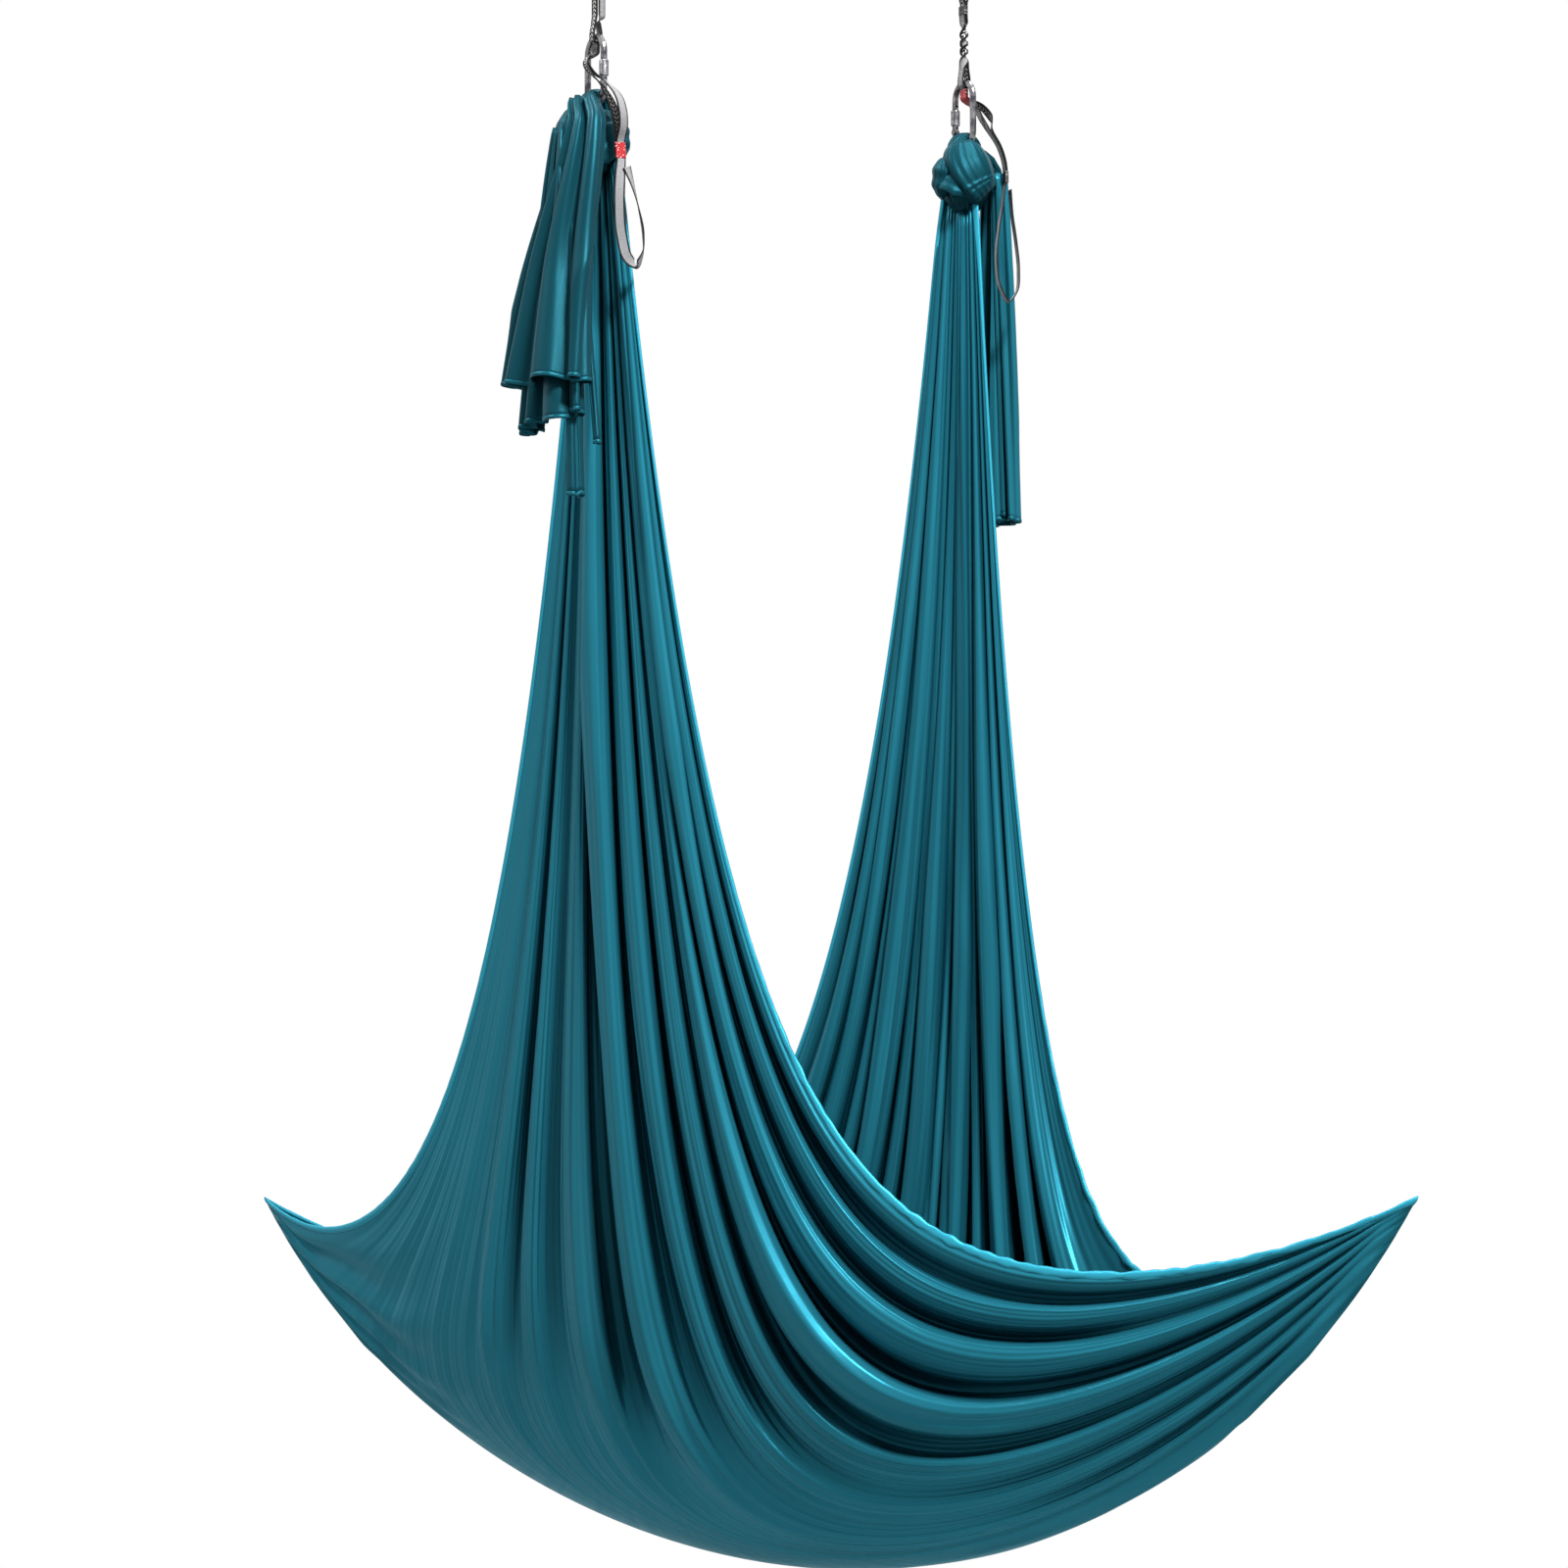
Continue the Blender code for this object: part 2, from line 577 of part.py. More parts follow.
RIGHT_CHAIN_SHARES = [
    (0.00, 0.00, 0.000, 90, 0.0), (0.00, 0.00, 0.008, 90, 0.0), (0.21, -0.09, 0.034, 92, 0.0),
    (0.34, -0.28, 0.066, 98, 0.0),
    (0.36, -0.66, 0.125, 112, 0.1), (0.40, -1.08, 0.190, 130, 0.3), (0.62, -1.32, 0.265, 150, 0.8),
    (0.76, -1.42, 0.340, 165, 0.6), (0.80, -1.46, 0.385, 172, 0.0), (0.82, -1.50, 0.440, 173, 0.0),
]
RIGHT_LOOP_SHARES = [
    (0.82, -1.50, 0.440, 173), (0.66, -1.62, 0.530, 150), (0.36, -1.74, 0.680, 128), (0.22, -1.80, 0.820, 132),
    (0.36, -1.84, 0.940, 150), (0.72, -1.86, 1.000, 178), (1.12, -1.84, 0.950, 205), (1.24, -1.78, 0.850, 225),
    (1.16, -1.72, 0.720, 220), (1.02, -1.66, 0.590, 200), (0.92, -1.68, 0.480, 180),
]


def chain_frames(shares, start):
    """Middles, widths and normals of a band along a route of shares."""
    rows = smooth_route([[row[0] * KNOT_RADIUS, row[1] * KNOT_RADIUS, chain_root_z - row[2] * CHAIN_DROP,
                          *row[3:]] for row in shares], CHAIN_STEPS)
    middles = [Vector(row[:3]) + start for row in rows]
    widths = []
    normals = []
    for index, row in enumerate(rows):
        along = middles[min(index + 1, len(rows) - 1)] - middles[max(index - 1, 0)]
        along.normalize()
        heading = math.radians(row[3])
        across = Vector((math.cos(heading), math.sin(heading), 0))
        across -= along * across.dot(along)
        across.normalize()
        widths.append(across)
        normals.append(along.cross(across))
    return rows, middles, widths, normals


def build_chain(label, side, chain, loop, thread):
    """The leftover chain: two bands down to a tack, and the grey one on round the end loop."""
    start = Vector((side * half_span, 0, 0))
    rows, middles, widths, normals = chain_frames(chain, start)
    black = [middle + side * ply_step * normal for middle, normal in zip(middles, normals)]
    grey = []
    for row, middle, normal in zip(rows, middles, normals):
        bow = ply_step + max(float(row[4]), 0) * WEBBING_WIDTH
        grey.append(middle - side * bow * normal)
    _, loop_middles, loop_widths, loop_normals = chain_frames(loop, start)
    meet = grey[-1] - loop_middles[0]
    count = len(loop_middles)
    for index in range(1, count):
        fade = 1 - blend_step(index * 4 / count)
        grey.append(loop_middles[index] + meet * fade)
    black_band = ribbon(f"{label}_chain_black_band", black, widths, WEBBING_THICKNESS, BLACK_WEBBING)
    grey_band = ribbon(f"{label}_chain_grey_band", grey, widths + loop_widths[1:], WEBBING_THICKNESS,
                       GREY_WEBBING)
    tack_start = middles[-1 - CHAIN_TACK_STEPS]
    along = (middles[-1] - tack_start).normalized()
    across = widths[-1 - CHAIN_TACK_STEPS // 2]
    across = (across - along * across.dot(along)).normalized()
    frame = Matrix((across, along.cross(across), along)).transposed()
    sewn = tack(f"{label}_chain_tack", (middles[-1] + tack_start) / 2, frame, 2, CHAIN_TACK_HEIGHT, thread)
    root = Vector((side * half_span, 0, chain_root_z))
    for piece in (black_band, grey_band, sewn):
        set_origin(piece, root)


def tail_rings(side, spread):
    """Rings of a loose end: fluted, narrow where it leaves the knot and wide at its hem."""
    out, aside, half_depth, half_width, length = spread
    rings = []
    for level in range(TAIL_RINGS):
        share = level / (TAIL_RINGS - 1)
        widen = share ** TAIL_WIDEN_POWER
        middle_x = tail_top_x + (out - tail_top_x) * widen
        depth = TAIL_TOP_DEPTH / 2 + (half_depth - TAIL_TOP_DEPTH / 2) * widen
        width = TAIL_TOP_WIDTH / 2 + (half_width - TAIL_TOP_WIDTH / 2) * widen
        flute = TAIL_TOP_FLUTE_SHARE + (TAIL_HEM_FLUTE_SHARE - TAIL_TOP_FLUTE_SHARE) * share
        height = tail_top_z - length * share
        ring = []
        for corner in range(TAIL_RING_POINTS):
            angle = 2 * math.pi * corner / TAIL_RING_POINTS
            swell = 1 + flute * (math.cos(TAIL_FLUTES * angle) - 1) / 2
            ring.append(at_rig(side, middle_x + depth * swell * math.cos(angle),
                               aside * widen + width * swell * math.sin(angle), height))
        rings.append(ring)
    return rings


def build_tail(label, side, spread):
    tail = loft(f"{label}_cloth_end", tail_rings(side, spread), TRICOT)
    set_origin(tail, at_rig(side, tail_top_x + TAIL_TOP_DEPTH / 2, 0, tail_top_z))
    return tail


def add_strip(tail, side, hem_z):
    """The corner of the cloth that hangs below the left end's hem."""
    rings = []
    for height in (hem_z + STRIP_RISE, hem_z + STRIP_RISE - STRIP_LENGTH):
        ring = []
        for corner in range(STRIP_STEPS):
            angle = 2 * math.pi * corner / STRIP_STEPS
            ring.append(at_rig(side, STRIP_OUT + STRIP_HALF_DEPTH * math.cos(angle),
                               STRIP_SIDE + STRIP_HALF_WIDTH * math.sin(angle), height))
        rings.append(ring)
    cut(tail, loft(f"{tail.name}_strip", rings), "UNION")


def build_knot(label, side):
    """The knot: the cloth over the carabiner's lower bar, its body, the wrap, a lobe and the stub."""
    middle = at_rig(side, 0, 0, 0)
    widen = Matrix.Diagonal((1, SADDLE_WIDTH / SADDLE_THICKNESS, 1, 1))
    body_z = bottom_bar_z - KNOT_HEIGHT * BODY_DROP_SHARE
    arch = [(saddle_radius, body_z)]
    for step in range(ARCH_STEPS + 1):
        angle = math.pi * step / ARCH_STEPS
        arch.append((saddle_radius * math.cos(angle), bottom_bar_z + saddle_radius * math.sin(angle)))
    arch.append((-saddle_radius, body_z))
    knot = tube(f"{label}_knot", [at_rig(side, x, 0, z) for x, z in arch], SADDLE_THICKNESS / 2, TRICOT, 3)
    knot.data.transform(Matrix.Translation(middle) @ widen @ Matrix.Translation(-middle))
    cut(knot, ball(f"{label}_knot_body", at_rig(side, 0, 0, body_z),
                   (BODY_RADIUS, BODY_RADIUS, BODY_HALF_HEIGHT)), "UNION")

    band_z = bottom_bar_z - KNOT_HEIGHT * BAND_DROP_SHARE
    slope = math.sin(BAND_TILT) * BAND_HEIGHT / 2
    lean_x = slope * math.cos(BAND_TURN)
    lean_y = slope * math.sin(BAND_TURN)
    rise = math.cos(BAND_TILT) * BAND_HEIGHT / 2
    band = cylinder(f"{label}_knot_band", at_rig(side, -lean_x, -lean_y, band_z - rise),
                    at_rig(side, lean_x, lean_y, band_z + rise), BAND_RADIUS)
    rounding = band.modifiers.new("rounding", "BEVEL")
    rounding.width = BAND_ROUND
    rounding.segments = 3
    rounding.limit_method = "ANGLE"
    cut(knot, band, "UNION")
    cut(knot, ball(f"{label}_knot_lobe", at_rig(side, -LOBE_OUT, LOBE_SIDE, band_z),
                   (LOBE_WIDTH / 2, LOBE_DEPTH / 2, LOBE_HEIGHT / 2), None, 16, 10), "UNION")

    stub_route = [at_rig(side, saddle_radius / 2, 0, bottom_bar_z),
                  at_rig(side, (saddle_radius + tail_top_x) / 2, 0, bottom_bar_z - STUB_THICKNESS),
                  at_rig(side, tail_top_x, 0, stub_end_z)]
    places = [Vector(row) for row in smooth_route(stub_route, STUB_STEPS)]
    places.append(places[-1] - Vector((0, 0, STUB_THICKNESS)))
    stub = tube(f"{label}_knot_stub", places, STUB_THICKNESS / 2, None, 3)
    flatten = Matrix.Diagonal((1, STUB_WIDTH / STUB_THICKNESS, 1, 1))
    stub.data.transform(Matrix.Translation(middle) @ flatten @ Matrix.Translation(-middle))
    reach = KNOT_SPAN / 2
    low_corner = (side * half_span - reach, -reach, stub_end_z - reach)
    high_corner = (side * half_span + reach, reach, stub_end_z)
    cut(stub, box(f"{label}_stub_end_cut", low_corner, high_corner))
    cut(knot, stub, "UNION")

    low_corner = (side * half_span - reach, -reach, knot_bottom_z - reach)
    high_corner = (side * half_span + reach, reach, knot_bottom_z)
    cut(knot, box(f"{label}_knot_foot_cut", low_corner, high_corner))
    first = at_rig(side, BAND_RADIUS + CLEARANCE, -reach, knot_bottom_z - reach)
    second = at_rig(side, reach, reach, stub_end_z)
    lowest = [min(pair) for pair in zip(first, second)]
    highest = [max(pair) for pair in zip(first, second)]
    cut(knot, box(f"{label}_loose_end_cut", lowest, highest))
    route = carabiner_route(nose_end_z, bottom_bend_z + HINGE_TONGUE)
    rod = tube(f"{label}_rod_cut", [at_rig(side, 0, y, z) for y, z in route], ROD / 2 + CLEARANCE, None, 4)
    cut(knot, rod)


def keel_height(along):
    """Height of the sling's lowest line at a place from -1, tip B, to 1, tip A."""
    rise = 1 - math.sqrt(1 - KEEL_ROUND_SHARE * along ** 2)
    rise /= 1 - math.sqrt(1 - KEEL_ROUND_SHARE)
    lean = TIP_SKEW * along - KEEL_SKEW * along * (1 - along ** 2)
    return keel_z + TIP_RISE * rise + lean


def sling_point(column, row, half):
    """A place on the cloth: column runs from edge B to edge A, row from a knot to the keel."""
    along = 2 * column - 1
    far_share = FALL_SHARE_FRONT if half < 0 else FALL_SHARE_BACK
    toward_a = blend_step(column)
    near_share = FALL_SHARE_LEFT if half < 0 else FALL_SHARE_RIGHT
    near_lift = EDGE_LIFT_LEFT if half < 0 else EDGE_LIFT_RIGHT
    long_side = toward_a if half < 0 else 1 - toward_a
    fall = near_share + (far_share - near_share) * long_side
    edge = abs(along) ** 2
    lift = (near_lift + (EDGE_LIFT_LONG - near_lift) * long_side) * edge
    knot = np.array((half * half_span, 0, knot_bottom_z - CLEARANCE))
    keel = np.array((TIP_OUT_X * along, -TIP_OUT_Y * along, keel_height(along)))
    neck_share = NECK_WIDTH / (2 * math.hypot(TIP_OUT_X, TIP_OUT_Y))
    across = neck_share + (1 - neck_share) * row
    place = knot + (keel - knot) * across
    depth = (knot[2] - keel[2] + lift) / (1 - math.exp(-1 / fall))
    place[2] = knot[2] - depth * (1 - math.exp(-row / fall)) + lift * row ** LIFT_POWER_SHARE
    return place


def fold_offset(column, row, half):
    """How far a fold stands out: folds run from each knot to the far tip and die out by the keel."""
    to_knot = 1 - row
    toward = column if half < 0 else 1 - column
    near = 1 - toward
    lead = to_knot * toward
    share = lead / (lead + near) if lead + near > 0 else 0
    wave = math.cos(2 * math.pi * FOLD_COUNT * share)
    open_share = 1 - math.exp(-row / FOLD_OPEN_SHARE)
    depth = NECK_FOLD_DEPTH + (LEG_FOLD_DEPTH - NECK_FOLD_DEPTH) * open_share
    belly = blend_step(row / BELLY_SHARE)
    depth = depth + (BELLY_FOLD_DEPTH - depth) * belly
    calm = blend_step(share / BORDER_CALM_SHARE) if row > 0 else 1
    calm = 1 - belly * (1 - calm)
    keel_calm = 1 - blend_step((row - KEEL_CALM_START_SHARE) / KEEL_CALM_RUN_SHARE)
    border = blend_step(min(column, 1 - column) / EDGE_CALM_SHARE)
    edge_calm = EDGE_FOLD_SHARE + (1 - EDGE_FOLD_SHARE) * border
    return wave * depth * calm * keel_calm * edge_calm


def build_sling():
    rows = []
    for half, order in ((-1, range(SLING_ROWS + 1)), (1, range(SLING_ROWS - 1, -1, -1))):
        for index in order:
            share = index / SLING_ROWS
            rows.append((half, share ** (KNOT_ROW_POWER + (KEEL_ROW_POWER - KNOT_ROW_POWER) * share)))
    base = np.array([[sling_point(step / SLING_COLUMNS, row, half) for step in range(SLING_COLUMNS + 1)]
                     for half, row in rows])
    down = np.gradient(base, axis=0)
    over = np.gradient(base, axis=1)
    normal = np.cross(over, down)
    normal /= np.linalg.norm(normal, axis=2, keepdims=True)
    level = np.array((TIP_OUT_Y, TIP_OUT_X, 0)) / math.hypot(TIP_OUT_X, TIP_OUT_Y)
    shape = bmesh.new()
    corners = []
    for index, (half, row) in enumerate(rows):
        line = []
        for step in range(SLING_COLUMNS + 1):
            facing = normal[index, step]
            if row == 0:
                facing = -half * level
            place = base[index, step] + facing * fold_offset(step / SLING_COLUMNS, row, half)
            line.append(shape.verts.new(place))
        corners.append(line)
    for first, second in zip(corners, corners[1:]):
        for step in range(SLING_COLUMNS):
            shape.faces.new((first[step], first[step + 1], second[step + 1], second[step]))
    piece = new_object("sling_cloth", mesh_from(shape, "sling_cloth"), TRICOT)
    wall = piece.modifiers.new("thickness", "SOLIDIFY")
    wall.thickness = CLOTH_THICKNESS
    wall.offset = 0
    set_origin(piece, (0, 0, top_bend_z))


build_sling()
for label, side, chain, loop, pocket_thread, chain_thread in (
        ("left", -1, LEFT_CHAIN_SHARES, LEFT_LOOP_SHARES, BLACK_THREAD, RED_THREAD),
        ("right", 1, RIGHT_CHAIN_SHARES, RIGHT_LOOP_SHARES, RED_THREAD, BLACK_THREAD)):
    build_strap(label, side, pocket_thread)
    build_carabiner(label, side)
    build_knot(label, side)
    build_chain(label, side, chain, loop, chain_thread)
build_tail("right", 1, (RIGHT_TAIL_OUT, RIGHT_TAIL_SIDE, RIGHT_TAIL_HALF_DEPTH, RIGHT_TAIL_HALF_WIDTH,
                        RIGHT_TAIL_LENGTH))
left_tail = build_tail("left", -1, (LEFT_TAIL_OUT, LEFT_TAIL_SIDE, LEFT_TAIL_HALF_DEPTH,
                                    LEFT_TAIL_HALF_WIDTH, LEFT_TAIL_LENGTH))
add_strip(left_tail, -1, tail_top_z - LEFT_TAIL_LENGTH)
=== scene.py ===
"""Aerial hammock of petrol tricot, dressed over its solids."""
import math

import bmesh
import bpy
import numpy as np
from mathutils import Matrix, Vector


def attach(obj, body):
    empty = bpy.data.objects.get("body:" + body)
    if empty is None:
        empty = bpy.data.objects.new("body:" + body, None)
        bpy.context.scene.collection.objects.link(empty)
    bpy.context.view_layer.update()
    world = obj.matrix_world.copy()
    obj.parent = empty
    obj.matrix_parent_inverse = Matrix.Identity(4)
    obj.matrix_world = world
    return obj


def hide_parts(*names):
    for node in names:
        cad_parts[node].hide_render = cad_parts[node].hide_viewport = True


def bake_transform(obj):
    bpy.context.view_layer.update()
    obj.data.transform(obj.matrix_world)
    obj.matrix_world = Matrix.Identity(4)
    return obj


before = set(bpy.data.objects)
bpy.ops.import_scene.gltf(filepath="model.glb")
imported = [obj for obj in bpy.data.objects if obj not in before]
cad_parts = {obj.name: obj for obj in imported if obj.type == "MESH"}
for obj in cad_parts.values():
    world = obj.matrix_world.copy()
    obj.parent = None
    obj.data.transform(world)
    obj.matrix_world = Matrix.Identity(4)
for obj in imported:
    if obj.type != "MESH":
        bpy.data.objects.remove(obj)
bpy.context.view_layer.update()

# ------------------------------------------------------------------ Camera
# Stands off the left front at hip height, tilted a little up, as the photograph was taken.
# A long lens keeps the two legs of the cloth nearly upright.
CAMERA_AWAY = 6.4849
CAMERA_HEIGHT = -1.6114
CAMERA_TURN = math.radians(29.417)
CAMERA_TILT = math.radians(3.979)
LENS_MM = 109.86

bpy.ops.object.select_all(action="DESELECT")
bpy.ops.object.camera_add()
camera = bpy.context.object
camera.name = "camera"
camera.data.lens = LENS_MM
camera.data.sensor_width = 36
look = Vector((math.sin(CAMERA_TURN) * math.cos(CAMERA_TILT),
               math.cos(CAMERA_TURN) * math.cos(CAMERA_TILT), math.sin(CAMERA_TILT)))
camera.location = (-CAMERA_AWAY * math.sin(CAMERA_TURN), -CAMERA_AWAY * math.cos(CAMERA_TURN),
                   CAMERA_HEIGHT)
camera.rotation_mode = "QUATERNION"
camera.rotation_quaternion = look.to_track_quat("-Z", "Y")
camera.data.clip_end = 60
bpy.context.scene.camera = camera

# ------------------------------------------------------------------ Tricot
# The cloth is a smooth two-way stretch warp knit with a satin face, dyed petrol blue.
# Its fine wales run along the cloth, and pulled threads streak its shine lengthwise.
TRICOT_PETROL = (0.0150, 0.158, 0.220)
# The colour of the painted shade in the sling's fold valleys
TRICOT_CREASE_SHADE = (0.0008, 0.024, 0.040)
TRICOT_THIN = (0.016, 0.110, 0.150)
MOTTLE_SHADE = 0.86
COURSES = 9000.0
STREAK_LENGTHS = 1.6
KNIT_RELIEF = 0.022
KNIT_DEPTH = 0.004
# Waves in one fold, where they start, and their share of a crease's height
CREASE_WAVES = ((2.0, 0.2, 0.60), (5.3, 0.0, 0.28), (11.7, 1.1, 0.12))


def new_group(name, inputs, outputs):
    """An empty shader group with named inputs and their values, and named outputs."""
    group = bpy.data.node_groups.new(name, "ShaderNodeTree")
    for label, value in inputs.items():
        kind = "NodeSocketVector" if isinstance(value, tuple) else "NodeSocketFloat"
        group.interface.new_socket(label, in_out="INPUT", socket_type=kind).default_value = value
    for label in outputs:
        group.interface.new_socket(label, in_out="OUTPUT", socket_type="NodeSocketFloat")
    return group, group.nodes.new("NodeGroupInput").outputs, group.nodes.new("NodeGroupOutput")


def new_finish(name, values):
    """A material with values set on its shader's own sockets."""
    finish = bpy.data.materials.new(name)
    finish.use_nodes = True
    shader = finish.node_tree.nodes["Principled BSDF"]
    for label, value in values.items():
        shader.inputs[label].default_value = value
    return finish, finish.node_tree, shader


def add_node(tree, kind, inputs=(), **settings):
    """A node with its settings, and values or other sockets put in its inputs."""
    node = tree.nodes.new("ShaderNode" + kind)
    for label, value in settings.items():
        setattr(node, label, value)
    for place, value in dict(inputs).items():
        if isinstance(value, bpy.types.NodeSocket):
            tree.links.new(value, node.inputs[place])
        else:
            node.inputs[place].default_value = value
    return node


def link_to(tree, node, sockets):
    """Links sockets to a node's inputs by name."""
    for label, socket in sockets.items():
        tree.links.new(socket, node.inputs[label])


def calc(tree, operation, *values):
    """The result of one step of arithmetic."""
    return add_node(tree, "Math", enumerate(values), operation=operation).outputs[0]


def clouds(tree, place, scale, detail, roughness=0.5):
    """Cloudy noise."""
    inputs = {"Vector": place, "Scale": scale, "Detail": detail, "Roughness": roughness}
    return add_node(tree, "TexNoise", inputs).outputs[0]


def rescale(tree, value, low, high, least=0.0, most=1.0):
    """A value brought from one range to another."""
    inputs = {"Value": value, "From Min": low, "From Max": high, "To Min": least, "To Max": most}
    return add_node(tree, "MapRange", inputs).outputs[0]


def mix_colours(tree, share, first, second):
    """The colour that lies a share of the way from one colour to another."""
    first = first if isinstance(first, bpy.types.NodeSocket) else (*first, 1)
    inputs = {"Factor": share, "A": first, "B": (*second, 1)}
    return add_node(tree, "Mix", inputs, data_type="RGBA").outputs["Result"]


def relief(tree, height, strength, distance, **more):
    """The normal of a surface with small heights on it."""
    inputs = {"Height": height, "Strength": strength, "Distance": distance, **more}
    return add_node(tree, "Bump", inputs).outputs[0]


def cloth_map(tree):
    return add_node(tree, "UVMap", uv_map="cloth_metres").outputs[0]


def mask(tree, label):
    return add_node(tree, "Attribute", attribute_name=label).outputs["Fac"]


def build_knit():
    """Group: fine wales across, and long streaks of pulled thread, from a map in metres."""
    group, into, out = new_group(
        "knit_face", {"Map": (0, 0, 0), "Wales per m": 1400.0, "Streaks per m": 55.0},
        ("Streak", "Mottle", "Height"))
    spread = add_node(group, "SeparateXYZ", {0: into["Map"]}).outputs
    thin = calc(group, "MULTIPLY", spread[0], into["Streaks per m"])
    long = calc(group, "MULTIPLY", spread[1], STREAK_LENGTHS)
    drawn_out = add_node(group, "CombineXYZ", {0: thin, 1: long}).outputs[0]
    streak = clouds(group, drawn_out, scale=1.0, detail=5.0, roughness=0.62)
    wale = calc(group, "MULTIPLY", spread[0], into["Wales per m"])
    rib = calc(group, "SINE", calc(group, "MULTIPLY", wale, 2 * math.pi))
    loop = calc(group, "SINE", calc(group, "MULTIPLY", spread[1], COURSES))
    faint = calc(group, "MULTIPLY", calc(group, "ADD", rib, loop), KNIT_RELIEF)
    mottle = clouds(group, into["Map"], scale=3.2, detail=3.0)
    link_to(group, out, {"Streak": streak, "Mottle": mottle, "Height": calc(group, "ADD", streak, faint)})
    return group


def build_pleat_lines():
    """Group: the finest creases, drawn across a count of folds that the cloth carries."""
    group, into, out = new_group("pleat_lines", {"Folds": 0.0, "Size": 0.0}, ("Height",))
    total = 0.0
    for times, start, share in CREASE_WAVES:
        turn = calc(group, "MULTIPLY_ADD", into["Folds"], 2 * math.pi * times, start)
        total = calc(group, "MULTIPLY_ADD", calc(group, "SINE", turn), share, total)
    link_to(group, out, {"Height": calc(group, "MULTIPLY", total, into["Size"])})
    return group


knit_face = build_knit()
pleat_lines = build_pleat_lines()


def tricot_finish(name, painted_shade_and_creases=True, bump=0.10, lift=1.0):
    """Petrol tricot, a little mottled, lightened or darkened by lift as painted light and shade. Its folds
    can get painted shade, and it is paler where it is taut.
    """
    finish, tree, shader = new_finish(name, {
        "Roughness": 0.40, "Specular IOR Level": 0.20, "Metallic": 0.34, "IOR": 1.38,
        "Specular Tint": (0.22, 0.82, 0.95, 1)})
    face = add_node(tree, "Group", {"Map": cloth_map(tree)}, node_tree=knit_face).outputs
    # Painted light and shade: lift scales the whole colour, so copies of this one tricot are lighter or
    # darker than the sling
    shades = ([shade * part for part in TRICOT_PETROL] for shade in (lift, MOTTLE_SHADE * lift))
    colour = mix_colours(tree, rescale(tree, face["Mottle"], 0.30, 0.70), *shades)
    more = {}
    if painted_shade_and_creases:
        # Painted shade: the colour darkens toward a deep petrol in the fold valleys
        colour = mix_colours(tree, mask(tree, "painted_crease_shade"), colour, TRICOT_CREASE_SHADE)
        colour = mix_colours(tree, mask(tree, "stretched_thin"), colour, TRICOT_THIN)
        creases = {"Folds": mask(tree, "fold_count"), "Size": mask(tree, "pleat_size")}
        creases = add_node(tree, "Group", creases, node_tree=pleat_lines).outputs["Height"]
        more["Normal"] = relief(tree, creases, strength=1.0, distance=1.0)
    link_to(tree, shader, {
        "Base Color": colour, "Roughness": rescale(tree, face["Streak"], 0.3, 0.7, 0.29, 0.43),
        "Normal": relief(tree, face["Height"], bump, KNIT_DEPTH, **more)})
    return finish


# ------------------------------------------------------------------ Sling cloth
# One wide length of tricot between the two knots. It hangs from each knot in a leg of deep folds
# that opens into a cradle, and its long edges are drawn out to a point on each side.
HALF_SPAN = 0.290
NECK_Z = -0.3403
NECK_WIDTH = 0.068
KEEL_Z = -2.212
KEEL_LEAN = 0.011
KEEL_SWAY = 0.047
TIP_RISE = 0.492
TIP_OUT_X = 0.358
TIP_OUT_Y = 0.935
TIP_SHARPNESS = 0.75
CLOTH_WIDTH = 1.65
CLOTH_THICKNESS = 0.0008
RUN_TO_CLOTH = 0.98
SLING_COLUMNS = 256
SLING_ROWS = 96

# For the left and the right leg, how fast its near and its far border fall, and the near one's lift
LEG_FALLS = {-1: (0.250, 0.153, 0.140), 1: (0.120, 0.138, 0.170)}
FAR_LIFT = 0.150
LIFT_POWER = 3.5

# Creases between the folds of each leg, from its near border to the far one, and their depth
LEFT_CREASES = (0.0, 0.022, 0.052, 0.105, 0.160, 0.262, 0.430, 0.600, 0.735, 0.835, 0.915, 0.965)
LEFT_CREASE_WEIGHTS = (0.1, 0.1, 0.15, 0.85, 0.35, 1.0, 0.62, 1.0, 0.48, 0.95, 0.5, 0.8)
RIGHT_CREASES = (0.0, 0.070, 0.120, 0.235, 0.290, 0.405, 0.465, 0.580, 0.645, 0.760, 0.820, 0.905, 0.960)
RIGHT_CREASE_WEIGHTS = (0.5, 0.8, 1.0, 0.7, 1.0, 0.8, 1.0, 0.9, 0.75, 1.0, 0.8, 0.9, 1.0)

# Rows from knot to keel with how much wider the cloth is than its place there, how deep its folds go,
# how much the folds differ from one another, and how far the fine pleats stand out
GATHERS = ((0, 0.05, 0.12, 0.25, 0.45, 0.70, 0.92, 1.0), (4.6, 4.6, 4.2, 2.8, 1.42, 1.12, 1.06, 1.04))
DEPTHS = ((0, 0.012, 0.08, 0.25, 0.6, 1.0), (0.034, 0.052, 0.078, 0.078, 0.042, 0.012))
DIFFERENCES = ((0, 0.25, 0.5, 1.0), (0.05, 0.25, 0.50, 0.62))
FINE_PLEATS = ((0, 0.02, 0.15, 0.35, 0.6, 0.85, 1.0), (0.7, 1.0, 0.95, 0.90, 0.70, 0.40, 0.05))
DIFFERENCE_ROWS = np.array((0, 0.08, 0.25, 0.42, 0.58, 0.74, 0.88, 1.0))
ROW_CROWDING = 0.58
FAN_SHARES = (0.40, 0.36, 0.24)
LEAST_FAN = 0.02
CREASE_STEPS = 2081
CREASE_ROUNDING = 31
MOST_FOLDS = 20
PLEATS_PER_FOLD = 3.4
PLEAT_HEIGHT = 0.0055
POINT_FOLD_HEIGHT = 0.0055
CREASE_HEIGHT = 0.0030
NECK_PINCH = 0.12
NECK_PINCH_REACH = 0.020
NECK_LIFT = 0.014
NECK_LIFT_REACH = 0.010
